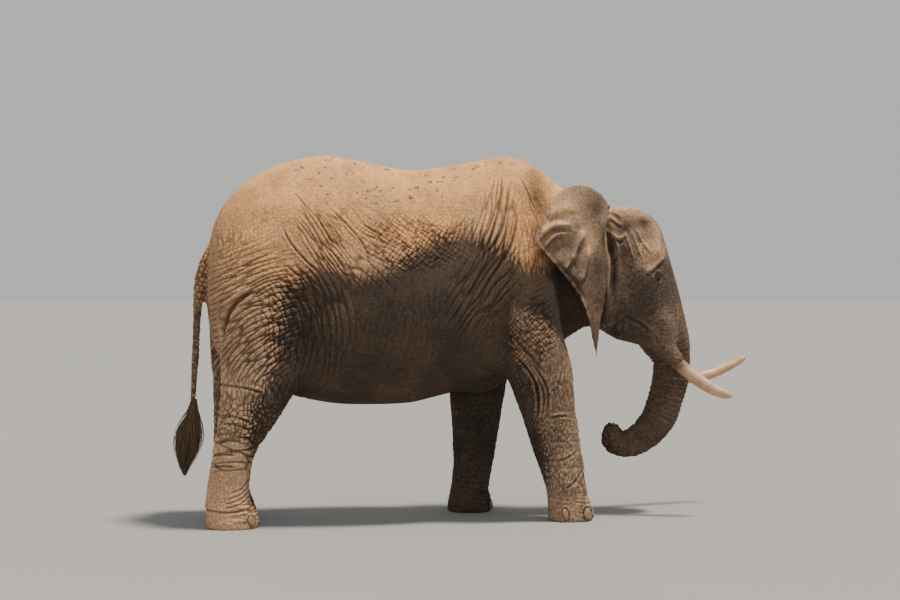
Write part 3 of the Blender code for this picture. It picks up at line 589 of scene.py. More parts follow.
def fold_shoulder(body):
    """A fan of folds that spreads down and back from the withers, and those behind the elbow."""
    skin = np.clip(body.trunk_of_body + body.fore_leg * ramp(body.z, 0.9, 1.05), 0, 1) * body.flank
    x, _, z = body.warped(0.15, 0.015, 51)
    fan = patch(body, (0.25, 2.00), (0.17, 0.44), -14) * skin
    body.carve(fan, lines(x, z, 72), (0.036, 0.30), 0.009, 52, edge=0.36, dark=0.62, pillow=0.25)
    lower = patch(body, (0.13, 1.60), (0.26, 0.42), -32) * skin
    body.carve(lower, lines(x, z, 56), (0.044, 0.34), 0.0085, 53, edge=0.38, dark=0.6, pillow=0.25)
    rear = patch(body, (0.02, 1.90), (0.22, 0.22)) * skin
    body.carve(rear, lines(x, z, 66), (0.032, 0.20), 0.004, 54, edge=0.30, dark=0.45, pillow=0.15)
    neck = patch(body, (0.55, 2.05), (0.16, 0.34), 20) * skin
    body.carve(neck, lines(x, z, -68), (0.055, 0.32), 0.004, 55, edge=0.22, dark=0.4, pillow=0.15)
    under_ear = patch(body, (0.46, 1.84), (0.20, 0.26)) * skin
    body.carve(under_ear, lines(x, z, 84), (0.034, 0.22), 0.004, 59, edge=0.30, dark=0.45, pillow=0.15)
    elbow = patch(body, (0.46, 1.24), (0.22, 0.34), -28) * skin
    body.carve(elbow, lines(x, z, 48), (0.022, 0.20), 0.0040, 56, edge=0.30, dark=0.72, pillow=0.10)
    body.carve(elbow, lines(x, z, -44), (0.024, 0.20), 0.0040, 57, edge=0.30, dark=0.72, pillow=0.10)
    upper_arm = patch(body, (0.52, 1.30), (0.16, 0.36)) * skin
    body.carve(upper_arm, lines(x, z, 22), (0.045, 0.20), 0.0045, 58, edge=0.28, dark=0.5, pillow=0.2)


def fold_legs(body):
    """Rings, cracks and plates on the four legs."""
    x, y, z = body.warped(0.12, 0.014, 61)
    hind, fore = body.hind_leg, body.fore_leg
    slits = hind * ramp(body.z, 0.70, 0.85) * ramp(body.z, 1.15, 1.0)
    body.carve(slits, (x, y, z), (0.022, 0.022, 0.10), 0.0042, 62, edge=0.34, dark=0.8)
    plates = hind * ramp(body.z, 0.50, 0.62) * ramp(body.z, 0.92, 0.80)
    body.carve(plates, (x, y, z), (0.036, 0.036, 0.032), 0.0062, 63, edge=0.34, dark=0.9)
    rings = hind * ramp(body.z, 0.34, 0.42) * ramp(body.z, 0.72, 0.60)
    body.carve(rings, (x, y, z), (0.24, 0.24, 0.062), 0.0065, 64, edge=0.26, dark=0.8)
    arm = fore * ramp(body.z, 0.70, 0.86)
    body.carve(arm, (x, y, z), (0.023, 0.023, 0.095), 0.0040, 65, edge=0.36, dark=0.65)
    shin = fore * ramp(body.z, 0.10, 0.20) * ramp(body.z, 0.95, 0.70)
    body.carve(shin, (x, y, z), (0.018, 0.018, 0.042), 0.0030, 66, edge=0.38, dark=0.65)
    body.carve(shin, (x, y, z), (0.20, 0.20, 0.060), 0.0020, 67, edge=0.20, dark=0.30)
    beads = hind * ramp(body.z, 0.30, 0.44) * ramp(np.abs(body.normals[:, 1]), 0.1, 0.5)
    beads = beads * mound(body, (-1.38, 0.72), (0.12, 0.42))
    body.carve(beads, (x, y, z), (0.027, 0.027, 0.034), 0.0045, 70, edge=0.40, dark=0.9)
    ankle = np.maximum(hind, fore) * ramp(body.z, 0.02, 0.05) * ramp(body.z, 0.24, 0.15)
    front = ramp(body.normals[:, 0], -0.2, 0.4)
    body.carve(ankle * (0.35 + 0.65 * front), (x, y, z), (0.16, 0.16, 0.026), 0.0055, 68, edge=0.36, dark=0.8)
    sole = np.maximum(hind, fore) * ramp(body.z, 0.055, 0.02)
    body.carve(sole, (x, y, z), (0.035, 0.035, 0.05), 0.0025, 69, edge=0.2, dark=0.5)


def fold_head(body):
    """Fine cracks on the brow and cheek, and deeper folds round the ear's root and under the jaw."""
    x, y, z = body.warped(0.09, 0.010, 71)
    head = body.head
    body.carve(head, (x, y, z), (0.050, 0.050, 0.030), 0.0013, 72, edge=0.22, dark=0.35, pillow=0.2)
    brow = patch(body, (1.26, 1.80), (0.12, 0.20), -10) * head
    body.carve(brow, lines(x, z, 76), (0.022, 0.14), 0.0030, 73, edge=0.30, dark=0.5, pillow=0.1)
    body.carve(brow, lines(x, z, -30), (0.050, 0.20), 0.0020, 77, edge=0.16, dark=0.4, pillow=0.1)
    cheek = patch(body, (1.24, 1.50), (0.18, 0.20)) * head
    body.carve(cheek, lines(x, z, 60), (0.050, 0.20), 0.0022, 78, edge=0.20, dark=0.35, pillow=0.2)
    throat = ramp(body.x, 1.30, 1.1) * ramp(body.z, 1.50, 1.30) * ramp(body.x, 0.7, 0.9) * (1 - body.ear)
    body.carve(throat, (x, y, z), (0.045, 0.12, 0.14), 0.007, 75, edge=0.36, dark=0.7)
    neck = patch(body, (0.90, 1.75), (0.16, 0.42)) * (1 - body.ear) * (1 - head)
    body.carve(neck, (x, y, z), (0.045, 0.16, 0.16), 0.007, 76, edge=0.36, dark=0.7)


def fold_trunk(body):
    """Rings round the trunk, closer and deeper towards its tip and along its front."""
    along = body.along_trunk + noise(body.points, 0.09, 81) * 0.010
    share = body.along_trunk / body.trunk_length
    fore = (body.normals[:, 0] + 0.25) * 0.12
    upper = body.trunk * ramp(share, 0.62, 0.45)
    body.carve(upper, (along, body.y, fore), (0.052, 0.30, 0.5), 0.0034, 82, edge=0.22, dark=0.35)
    lower = body.trunk * ramp(share, 0.35, 0.55)
    body.carve(lower, (along, body.y, fore), (0.034, 0.26, 0.5), 0.0046, 83, edge=0.30, dark=0.50)
    x, y, z = body.warped(0.08, 0.008, 84)
    body.carve(body.trunk, (x, y, z), (0.022, 0.016, 0.024), 0.0016, 85, edge=0.34, dark=0.4)


def fold_tail(body):
    """Cross-hatched skin over the tail's root and rings all the way down."""
    along = body.along_tail + noise(body.points, 0.05, 91) * 0.006
    root = body.tail * ramp(body.along_tail, 0.62, 0.42)
    body.carve(root, (along, body.y, body.x), (0.030, 0.034, 0.036), 0.006, 92, edge=0.36, dark=0.6)
    rings = body.tail * ramp(body.along_tail, 0.35, 0.5)
    body.carve(rings, (along, body.y, body.x), (0.021, 0.11, 0.11), 0.0042, 93, edge=0.42, dark=0.6)


def fine_hide(body):
    """The hide's own network of small cracks, faint where dust fills it."""
    x, y, z = body.warped(0.05, 0.006, 101)
    dusty = ramp(body.up, 0.35, 0.8) * body.trunk_of_body
    strength = 1 - 0.75 * dusty - 0.3 * body.ear
    body.carve(strength, (x, y, z), (0.026, 0.026, 0.026), 0.0014, 102, edge=0.30, dark=0.45, pillow=0.2)
    body.height += 0.0035 * noise(body.points, 0.16, 103, octaves=2) * (1 - 0.5 * body.ear)


def stroke_side(body):
    """The long single folds before the hip and down from the withers."""
    side = body.trunk_of_body * body.flank
    for line, depth, width in (
        ([(-1.11, 2.23), (-1.07, 2.18), (-1.02, 2.11)], 0.006, 0.008),
        ([(-0.87, 2.12), (-0.79, 2.04), (-0.71, 1.95), (-0.66, 1.88), (-0.61, 1.78)], 0.009, 0.009),
        ([(-1.20, 2.01), (-1.14, 1.89), (-1.04, 1.77), (-0.95, 1.69)], 0.011, 0.010),
        ([(-1.17, 1.75), (-1.12, 1.70), (-1.06, 1.66)], 0.010, 0.010),
        ([(-0.67, 2.02), (-0.57, 1.96), (-0.45, 1.88)], 0.008, 0.008),
        ([(-0.96, 2.06), (-0.91, 1.97), (-0.84, 1.87)], 0.007, 0.009),
        ([(0.33, 2.40), (0.29, 2.18), (0.22, 1.96), (0.15, 1.81)], 0.012, 0.012),
        ([(0.36, 2.31), (0.33, 2.14), (0.28, 1.97), (0.18, 1.80)], 0.013, 0.012),
        ([(0.31, 2.24), (0.24, 2.08), (0.16, 1.90)], 0.008, 0.010),
        ([(0.40, 2.10), (0.36, 1.93), (0.26, 1.74), (0.10, 1.50)], 0.011, 0.013),
        ([(0.27, 1.86), (0.12, 1.66), (0.00, 1.46)], 0.009, 0.013),
        ([(0.44, 2.36), (0.50, 2.22), (0.54, 2.10)], 0.005, 0.010),
    ):
        body.stroke(line, 0.75 * depth, 0.75 * width, mask=side, dark=0.75)


def stroke_foreleg(body):
    """The long folds down the foreleg, and the short ones across it."""
    limb = np.clip(body.fore_leg + body.trunk_of_body * body.flank, 0, 1)
    for line, depth, width in (
        ([(0.36, 1.14), (0.47, 1.01), (0.52, 0.88), (0.53, 0.68)], 0.011, 0.010),
        ([(0.40, 1.13), (0.505, 1.00), (0.56, 0.87), (0.555, 0.70)], 0.007, 0.008),
        ([(0.44, 1.12), (0.54, 0.99), (0.59, 0.87), (0.58, 0.69)], 0.011, 0.010),
        ([(0.35, 1.25), (0.46, 1.13), (0.58, 0.99)], 0.008, 0.011),
        ([(0.60, 0.71), (0.67, 0.72), (0.75, 0.72)], 0.009, 0.008),
        ([(0.66, 0.42), (0.74, 0.44), (0.84, 0.50)], 0.005, 0.008),
        ([(0.70, 0.22), (0.78, 0.27), (0.88, 0.38)], 0.006, 0.008),
    ):
        body.stroke(line, depth, width, only=-1, mask=limb, dark=0.75)


def stroke_hind_leg(body):
    """The rings round the hind leg, and the cleft between the thighs."""
    leg = body.hind_leg * (0.4 + 0.6 * (body.y < 0))
    for line, depth, width in (
        ([(-1.64, 0.955), (-1.48, 0.946), (-1.32, 0.905)], 0.012, 0.009),
        ([(-1.64, 0.755), (-1.51, 0.748), (-1.38, 0.695)], 0.013, 0.009),
        ([(-1.60, 0.700), (-1.52, 0.700), (-1.42, 0.665)], 0.011, 0.009),
        ([(-1.66, 0.560), (-1.55, 0.592), (-1.45, 0.580)], 0.012, 0.009),
        ([(-1.68, 0.482), (-1.58, 0.500), (-1.50, 0.497)], 0.009, 0.008),
        ([(-1.68, 0.412), (-1.58, 0.424), (-1.50, 0.418)], 0.008, 0.008),
        ([(-1.76, 0.135), (-1.58, 0.118), (-1.40, 0.128)], 0.009, 0.008),
        ([(-1.60, 0.140), (-1.48, 0.168), (-1.38, 0.235)], 0.003, 0.006),
        ([(-1.60, 0.168), (-1.48, 0.200), (-1.38, 0.275)], 0.003, 0.006),
        ([(-1.58, 0.202), (-1.47, 0.236), (-1.38, 0.320)], 0.003, 0.006),
        ([(-1.56, 0.240), (-1.46, 0.278), (-1.39, 0.365)], 0.003, 0.006),
    ):
        body.stroke(line, depth, width, dark=0.8, mask=leg)
    # The cleft between the thighs is darkened fully, as painted shade.
    cleft = [(-1.36, 1.585), (-1.47, 1.53), (-1.55, 1.44), (-1.59, 1.32), (-1.60, 1.18)]
    thigh = np.clip(body.trunk_of_body * body.flank + body.hind_leg, 0, 1)
    body.stroke(cleft, 0.026, 0.018, lip=0.6, mask=thigh * ramp(body.out, 0.1, 0.2))


def shape_head(body):
    """The temple's hollows, the ridge over the eye, the ear's root and the corner of the mouth, with painted
    highlight on the ridges and painted shade in the hollows, under the ridges, in the gap before the ear and
    along the mouth.
    """
    head = ramp(body.x, 1.02, 1.08) * ramp(body.out, 0.05, 0.12) * (1 - body.trunk)
    for centre, radii, depth in (
        ((1.335, 2.035), (0.085, 0.065), 0.016),
        ((1.190, 2.000), (0.110, 0.080), 0.016),
        ((1.297, 1.912), (0.045, 0.050), 0.012),
        ((1.165, 1.820), (0.045, 0.140), 0.012),
        ((1.085, 1.885), (0.035, 0.110), 0.022),
        ((1.395, 1.820), (0.130, 0.110), -0.015),
        ((1.250, 1.600), (0.120, 0.100), -0.008),
    ):
        spot = mound(body, centre, radii) * head
        body.height -= depth * spot
        if depth > 0:
            # painted shade in the hollow
            body.groove = np.maximum(body.groove, 60 * (depth - 0.002) * spot)
    for line, height, width in (
        ([(1.04, 2.165), (1.09, 2.140), (1.141, 2.105), (1.20, 2.060)], 0.010, 0.011),
        ([(1.05, 2.110), (1.101, 2.075), (1.143, 2.038), (1.19, 2.010)], 0.010, 0.010),
        ([(1.06, 2.030), (1.095, 1.965), (1.148, 1.925), (1.200, 1.965)], 0.015, 0.013),
        ([(1.095, 1.960), (1.125, 1.900), (1.130, 1.830), (1.095, 1.760)], 0.014, 0.013),
        ([(1.185, 1.985), (1.210, 1.880), (1.240, 1.760)], 0.009, 0.010),
        ([(1.228, 2.005), (1.262, 1.890), (1.298, 1.770)], 0.011, 0.010),
        ([(1.275, 2.005), (1.315, 1.905), (1.365, 1.810)], 0.008, 0.010),
        ([(1.298, 1.695), (1.340, 1.705), (1.390, 1.740), (1.441, 1.778), (1.49, 1.830)], 0.010, 0.018),
    ):
        body.stroke(line, -height, width, lip=0.0, mask=head, lit=0.55)
        # painted shade under the ridge
        below = [(x, z - 1.9 * width) for x, z in line]
        body.stroke(below, 0.005, width, lip=0.0, dark=0.75, mask=head)
    # the gap before the ear's front edge is carved and darkened fully, as painted shade
    gap = [(1.068, 2.12), (1.082, 2.015), (1.095, 1.877), (1.104, 1.761), (1.092, 1.603), (1.066, 1.417)]
    body.stroke(gap, 0.032, 0.024, lip=0.0, mask=ramp(body.x, 1.045, 1.07) * ramp(body.out, 0.05, 0.12))
    mouth = [(1.16, 1.40), (1.23, 1.365), (1.31, 1.325), (1.39, 1.255)]
    body.stroke(mouth, 0.010, 0.010, lip=0.5, mask=head, dark=0.55)


# Folds of the ear's sheet on the side view, each with its height and width.
EAR_FOLDS = (
    ([(0.52, 1.930), (0.594, 1.995), (0.66, 2.012), (0.79, 2.010)], 0.040, 0.020),
    ([(0.54, 1.850), (0.60, 1.915), (0.66, 1.950), (0.75, 1.950)], 0.036, 0.017),
    ([(0.760, 1.730), (0.792, 1.843), (0.825, 1.910), (0.875, 1.985)], 0.042, 0.022),
    ([(0.815, 1.610), (0.850, 1.690), (0.878, 1.780), (0.900, 1.880)], 0.036, 0.020),
    ([(0.70, 1.700), (0.745, 1.765), (0.770, 1.830)], 0.026, 0.014),
    ([(0.56, 2.05), (0.64, 2.10), (0.74, 2.12), (0.82, 2.10)], 0.014, 0.030),
    ([(0.60, 1.76), (0.70, 1.70), (0.79, 1.60), (0.86, 1.47)], -0.014, 0.035),
    ([(0.99, 2.10), (1.02, 1.95), (1.02, 1.65), (0.98, 1.35)], 0.024, 0.035),
)
EAR_REAR_RIM = [
    (0.66, 2.18), (0.595, 2.05), (0.535, 1.95), (0.515, 1.905), (0.575, 1.822), (0.725, 1.660),
    (0.835, 1.520), (0.895, 1.36), (0.93, 1.22),
]
LOBE_DROP = 0.045  # how far the end of an ear's lobe hangs below the solid's


def shape_ears(body):
    """Bends the ears' sheet into folds that fan in from its rear edge. Both faces move together. Painted
    highlight tops the folds and the rear rim, and painted shade lies under the folds.
    """
    bend = np.zeros(len(body.x))
    for line, height, width in EAR_FOLDS:
        keep = body.height.copy()
        body.height[:] = 0
        body.stroke(line, -height, width, lip=0.0, mask=body.ear)
        bend += body.height
        body.height[:] = keep
        if height > 0 and width < 0.03:
            # painted highlight just above each fold, and painted shade below it
            above = [(x, z + 0.4 * width) for x, z in line]
            body.stroke(above, -1e-4, width, lip=0.0, mask=body.ear, lit=0.55)
            below = [(x, z - 1.7 * width) for x, z in line]
            body.stroke(below, 1e-4, 1.2 * width, lip=0.0, dark=0.62, mask=body.ear)
    wave = noise(np.stack([body.x, 0 * body.x, body.z], axis=1), 0.16, 111, octaves=2)
    bend += 0.010 * wave * body.ear
    body.points[:, 1] += np.sign(body.y) * bend
    body.points[:, 2] -= LOBE_DROP * body.ear * ramp(body.z, 1.36, 1.16)
    x, _, z = body.warped(0.10, 0.012, 112)
    body.carve(body.ear, arcs(x, z, (1.02, 1.90)), (0.070, 0.12), 0.0014, 113, edge=0.18, dark=0.25)
    body.carve(body.ear, lines(x, z, 80), (0.045, 0.18), 0.0010, 114, edge=0.18, dark=0.20)
    # painted highlight along the ear's rear rim
    body.stroke(EAR_REAR_RIM, -0.006, 0.012, lip=0.0, mask=body.ear, lit=0.9)


def open_nostrils(body):
    """Two nostrils in the trunk's end, with painted shade inside them, and the finger before them."""
    tip = np.array([1.163 - MARK, 0, 0.634])
    for side in SIDES.values():
        place = tip + np.array([0.012, side * 0.026, -0.010])
        away = np.linalg.norm(body.points - place, axis=1)
        hole = ramp(away, 0.028, 0.012)
        body.points[:, 2] -= 0.030 * hole
        # painted shade inside the nostril
        body.groove = np.maximum(body.groove, hole)
    finger = ramp(np.linalg.norm(body.points - tip - np.array([-0.040, 0, -0.012]), axis=1), 0.040, 0.0)
    body.points += finger[:, None] * np.array([-0.002, 0, 0.012])


EYE_SLIT = 0.021  # half the length of the opening between the lids
LID = 0.0045  # thickness of a lid over the eyeball


def eye_axes(side):
    """Directions along the slit, across it and out of the eye."""
    out = Vector((0.30, side * 0.95, 0.06)).normalized()
    along = Vector((0.94, 0, -0.34))
    along = (along - along.dot(out) * out).normalized()
    across = out.cross(along) * side
    return tuple(np.array(v) for v in (along, across if across.z > 0 else -across, out))


def shape_lids(body):
    """Opens the hide over each eyeball and wraps lids and creases round it."""
    for side_name, side in SIDES.items():
        low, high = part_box(side_name + "_eye")
        radius = (high.z - low.z) / 2
        centre = np.array(eye_centre(side_name))
        along, across, out = eye_axes(side)
        pick = np.flatnonzero(np.linalg.norm(body.points - centre, axis=1) < 0.10)
        local = body.points[pick] - centre
        a, b, c = local @ along, local @ across, local @ out
        around = np.hypot(a, b)
        dome = np.sqrt(np.maximum((radius + LID) ** 2 - around**2, 0))
        cover = ramp(around, radius + 0.012, radius - 0.004)
        lifted = np.maximum(c, c + (dome - c) * cover)
        width = np.clip(1 - (a / EYE_SLIT) ** 2, 0, 1)
        upper, lower = 0.0105 * width**0.7, -0.0085 * width
        inside = np.minimum(upper - b, b - lower)
        inside = np.where(np.abs(a) < EYE_SLIT, inside, -0.01)
        opening = ramp(inside, -0.0012, 0.0012)
        sunk = np.sqrt(np.maximum(radius**2 - around**2, 0)) - 0.007
        lifted = lifted * (1 - opening) + np.minimum(sunk, lifted) * opening
        rim = np.exp(-(((inside + 0.0030) / 0.0022) ** 2)) * cover
        creases = 0.0012 * np.cos((around - radius - 0.006) / 0.0085 * 2 * math.pi)
        creases *= ramp(around, radius + 0.003, radius + 0.010) * ramp(around, 0.085, 0.040)
        bag = 0.006 * np.exp(-(((b + 0.030) / 0.012) ** 2 + (a / 0.035) ** 2))
        brow = 0.010 * np.exp(-(((b - 0.040) / 0.016) ** 2 + ((a + 0.01) / 0.045) ** 2))
        lifted = lifted + 0.0012 * rim + creases + bag + brow
        body.points[pick] += (lifted - c)[:, None] * out
        near = ramp(around, 0.055, 0.035)
        body.height[pick] *= 1 - near
        tint = np.maximum(ramp(around, 0.040, 0.026) * 0.8, opening)
        body.groove[pick] = np.maximum(body.groove[pick] * (1 - near), tint)


# The line under which the side of the body is darkened with painted shade.
PAINTED_SHADE_BELOW = [
    (-1.60, 1.30), (-1.36, 1.40), (-1.15, 1.66), (-1.02, 1.77), (-0.89, 1.79), (-0.79, 1.76), (-0.69, 1.71),
    (-0.52, 1.72), (-0.39, 1.81), (-0.26, 1.92), (-0.15, 1.985), (0.00, 2.00), (0.23, 1.93), (0.34, 1.85),
    (0.46, 1.76), (0.60, 1.76), (0.90, 1.80),
]
# Behind this slanting edge, given as x at height z, the thigh and the hind leg are left out of the painted
# shade.
THIGH_EDGE_Z = (0.40, 0.47, 0.54, 0.71, 0.85, 0.95, 1.13, 1.24, 1.55, 1.75)
THIGH_EDGE_X = (-1.30, -1.40, -1.44, -1.41, -1.38, -1.32, -1.265, -1.26, -1.22, -1.06)
# Before this one the foreleg is mostly out of the painted shade too, up to a line that falls forwards from
# the elbow.
LEG_EDGE_Z = (0.12, 0.42, 0.55, 0.69, 0.83, 0.95, 1.12, 1.24, 1.47)
LEG_EDGE_X = (0.58, 0.60, 0.57, 0.53, 0.53, 0.50, 0.39, 0.35, 0.34)
ARM_TOP_X = (0.30, 0.43, 0.54, 0.63, 0.72, 0.80)
ARM_TOP_Z = (1.54, 1.44, 1.39, 1.31, 1.17, 1.08)


def painted_shade_of_side(body, mottle, relief):
    """Painted shade: 1 on the shaded lower half of the body, the front of the thighs and the back of the
    forelegs.
    """
    x, z = body.x, body.z
    line = np.interp(x, *np.array(PAINTED_SHADE_BELOW).T)
    dark = ramp(z + 0.045 * mottle + 0.055 * relief, line + 0.06, line - 0.09)
    thigh_edge = np.interp(z, THIGH_EDGE_Z, THIGH_EDGE_X)
    dark *= ramp(x + 0.03 * mottle - 0.05 * relief, thigh_edge - 0.06, thigh_edge + 0.05)
    leg_edge = np.interp(z, LEG_EDGE_Z, LEG_EDGE_X)
    arm_top = np.interp(x, ARM_TOP_X, ARM_TOP_Z)
    lit_leg = ramp(x + 0.02 * mottle + 0.03 * relief, leg_edge - 0.03, leg_edge + 0.04)
    lit_leg *= ramp(z + 0.03 * mottle - 0.03 * relief, arm_top + 0.04, arm_top - 0.06) * ramp(z, 1.54, 1.38)
    dark *= 1 - 0.85 * lit_leg
    return dark * ramp(x, 1.05, 0.95)


def relief_of(body, spread):
    """1 on the crests of the folds, -1 at their bottom and 0 on even skin."""
    level = spread.relaxed(body.height, 14, 0.7)
    return np.clip((body.height - level) / 0.0028, -1, 1)


class Tones:
    """How much dust and painted light, how red and how much painted shade the hide has at each point, and
    where specks of soil lie.
    """

    def __init__(self, body, relief):
        self.body = body
        self.relief = relief
        self.mottle = noise(body.points, 0.34, 121, octaves=3)
        self.patchy = noise(body.points, 0.10, 122, octaves=3)
        self.high = ramp(body.z + 0.05 * self.mottle, 1.45, 2.15)
        self.on_head = np.maximum(body.head, body.ear)
        self.rump = ramp(body.x, -0.9, -1.2) * ramp(body.z, 1.2, 1.5)
        self.dust_and_painted_light = self.first_dust_and_painted_light()
        self.red = self.first_red()
        self.shade_nape()
        self.paint_head_light_and_shade()
        self.paint_ear_light_and_shade()
        self.shade_hollows()

    def first_dust_and_painted_light(self):
        """Dust and painted light: most on the back, the rump and the crests of folds, and little on the head,
        trunk and tail; the crests carry painted highlight and the troughs painted shade.
        """
        body, relief, high = self.body, self.relief, self.high
        dust_and_painted_light = 0.30 + 0.22 * high + 0.30 * ramp(body.up, 0.0, 0.8) * high + 0.10 * self.mottle
        dust_and_painted_light = dust_and_painted_light + (0.08 + 0.12 * high) * self.patchy
        # Crests of folds get a painted highlight and their troughs painted shade.
        crests = np.maximum(relief, 0) * (1 - 0.5 * self.on_head) * (1 - 0.8 * body.trunk)
        dust_and_painted_light += 0.26 * crests + 0.16 * np.minimum(relief, 0) * (1 - 0.8 * body.trunk)
        dust_and_painted_light += 0.09 * self.rump + 0.14 * ramp(body.x, -1.35, -1.55) * (1 - high)
        dust_and_painted_light -= 0.12 * ramp(body.x, -1.10, -1.35) * ramp(body.z, 1.95, 2.15)
        # the rear edge of the hind leg is made paler, as painted highlight
        dust_and_painted_light += body.hind_leg * (0.30 - 0.14 * ramp(body.z, 0.60, 0.40) + 0.16 * ramp(body.x, -1.34, -1.50))
        dust_and_painted_light += 0.05 * np.maximum(body.hind_leg, body.fore_leg) * ramp(body.z, 0.42, 0.10)
        dust_and_painted_light += 0.06 * body.fore_leg * ramp(body.z, 0.70, 0.25) + 0.06 * body.fore_leg
        dust_and_painted_light -= 0.08 * patch(body, (0.50, 1.16), (0.30, 0.36))
        dust_and_painted_light -= self.on_head * 0.14
        dust_and_painted_light -= 0.09 * body.trunk + 0.20 * body.tail
        return dust_and_painted_light

    def first_red(self):
        """Reddest low on the back and behind the shoulder, and hardly so on the head and legs."""
        body = self.body
        red = 0.42 + 0.06 * self.rump + 0.22 * self.mottle
        shoulder = 0.25 * patch(body, (0.46, 1.95), (0.14, 0.36))
        red += 0.35 * patch(body, (-0.22, 1.98), (0.30, 0.15)) + shoulder
        red *= 1 - 0.85 * np.maximum(self.on_head, body.trunk)
        red *= 1 - 0.55 * np.maximum(body.hind_leg, body.fore_leg)
        red *= 1 - 0.45 * ramp(body.z, 1.85, 1.35)
        red += 0.24 * ramp(body.up, 0.2, 0.7) * body.trunk_of_body
        return red

    def shade_nape(self):
        """Painted shade on the lower side of the body and on the neck behind the ears, where the hide is also
        made less pale.
        """
        body = self.body
        nape = mound(body, (0.56, 2.22), (0.10, 0.22)) + 0.8 * mound(body, (0.53, 1.86), (0.10, 0.16))
        nape *= body.trunk_of_body
        # Behind the ears the hide is made darker and redder, as painted shade.
        self.dust_and_painted_light -= 0.60 * nape
        self.red += 0.25 * nape + 0.14 * body.hind_leg * ramp(body.z, 0.60, 0.40)
        self.shade = np.maximum(painted_shade_of_side(body, self.mottle, self.relief), 0.22 * nape)

    def paint_head_light_and_shade(self):
        """Painted highlight on the brow, the forehead, the temples, the crown and the lit ridges, over a face
        in painted shade.
        """
        body = self.body
        edge = np.interp(body.x, (1.28, 1.34, 1.39, 1.44, 1.49), (1.70, 1.70, 1.735, 1.775, 1.83))
        brow = ramp(body.z, edge - 0.025, edge + 0.04) * ramp(body.z, 1.98, 1.82)
        brow = brow * ramp(body.x, 1.19, 1.36)
        brow *= 0.8 + 0.2 * self.relief
        forehead = 0.9 * mound(body, (1.44, 1.95), (0.08, 0.13))
        forehead = np.maximum(forehead, 0.6 * mound(body, (1.36, 2.11), (0.09, 0.08)))
        temple = 0.50 * mound(body, (1.26, 2.12), (0.09, 0.05))
        temple = temple + 0.30 * mound(body, (1.31, 1.98), (0.04, 0.10))
        brow = np.maximum(brow, np.clip(forehead + temple, 0, 0.9))
        crown = ramp(body.z + 0.4 * body.up, 2.42, 2.52)
        bright = np.maximum(brow * ramp(body.x, 1.53, 1.47), crown)
        # The head is in painted shade, except where the painted highlight lies.
        self.shade = np.maximum(self.shade, body.head * (0.66 - 0.64 * bright))
        self.dust_and_painted_light += 0.17 * body.head * brow + 0.45 * body.rim
        self.red = np.maximum(self.red, 0.34 * body.head * np.maximum(brow, crown))

    def paint_ear_light_and_shade(self):
        """Ears with painted highlight behind and along one wedge, and painted shade in front, below and on
        their faces towards the head.
        """
        body = self.body
        self.shade *= 1 - body.ear
        front = mound(body, (0.96, 2.15), (0.12, 0.18))
        front = np.maximum(front, 0.9 * mound(body, (1.02, 1.90), (0.05, 0.22)))
        wedge = mound(body, (0.895, 1.90), (0.08, 0.14))
        dark = np.maximum(0.54 * ramp(body.z + 0.05 * self.mottle, 2.00, 1.76), 0.92 * front)
        to_head = ramp(body.normals[:, 1] * np.sign(body.y), 0.0, -0.5)
        dark = np.maximum(dark, 0.75 * to_head)
        dark *= 1 - 0.95 * wedge
        self.shade = np.maximum(self.shade, body.ear * dark)
        light = np.maximum(mound(body, (0.70, 2.13), (0.17, 0.15)), wedge)
        light = np.maximum(light, mound(body, (0.58, 1.97), (0.07, 0.12))) * body.ear
        self.dust_and_painted_light += 0.41 * light
        self.red = np.maximum(self.red, 0.34 * light)

    def shade_hollows(self):
        """Painted shade on the trunk, behind and under the ears, inside the legs and on the far thigh."""
        body = self.body
        self.shade = np.maximum(self.shade, 0.66 * body.trunk)
        hollow = ramp(body.x, 0.60, 0.72) * ramp(body.x, 1.10, 1.02)
        hollow = hollow * ramp(body.z, 1.90, 1.76) * (1 - body.ear)
        hollow *= ramp(body.z, 1.06, 1.30)
        self.shade = np.maximum(self.shade, hollow)
        arm_top = np.interp(body.x, ARM_TOP_X, ARM_TOP_Z)
        under_ear = ramp(body.x, 0.36, 0.52) * ramp(body.x, 1.10, 1.03)
        under_ear = under_ear * ramp(body.z, 1.82, 1.68) * ramp(body.z, 1.12, 1.34)
        under_ear *= ramp(body.z, arm_top - 0.03, arm_top + 0.05) * (1 - body.ear)
        # Under the ears the painted shade is also laid through the groove tone.
        body.groove = np.maximum(body.groove, 0.65 * under_ear)
        # Painted highlights on ridges take off some of the painted shade.
        self.shade *= 1 - 0.8 * body.rim
        limbs = np.maximum(body.hind_leg, body.fore_leg)
        inner = ramp(body.normals[:, 1] * np.sign(body.y), -0.1, -0.6) * limbs
        self.shade = np.maximum(self.shade, 0.75 * inner)
        far = ramp(body.y, 0.02, 0.10) * ramp(body.x, -1.15, -1.35) * ramp(body.normals[:, 1], 0.65, 0.15)
        far *= ramp(body.z, 1.70, 1.40) * ramp(body.z, 0.25, 0.45) * (1 - body.tail)
        self.shade = np.maximum(self.shade, 0.85 * far * (1 - 0.7 * np.maximum(self.relief, 0)))

    def attributes(self):
        """The tones by the names that the hide's material reads, each from 0 to 1."""
        body = self.body
        spine = 1.2 * patch(body, (-0.50, 2.34), (0.80, 0.30)) + 0.7 * ramp(body.z, 2.33, 2.42)
        soil = ramp(body.up, 0.15, 0.45) * np.clip(spine, 0, 1) * body.trunk_of_body
        tones = {"dust_and_painted_light": self.dust_and_painted_light, "red": self.red, "shade": self.shade, "soil": soil}
        return {name: np.clip(values, 0, 1) for name, values in tones.items()}


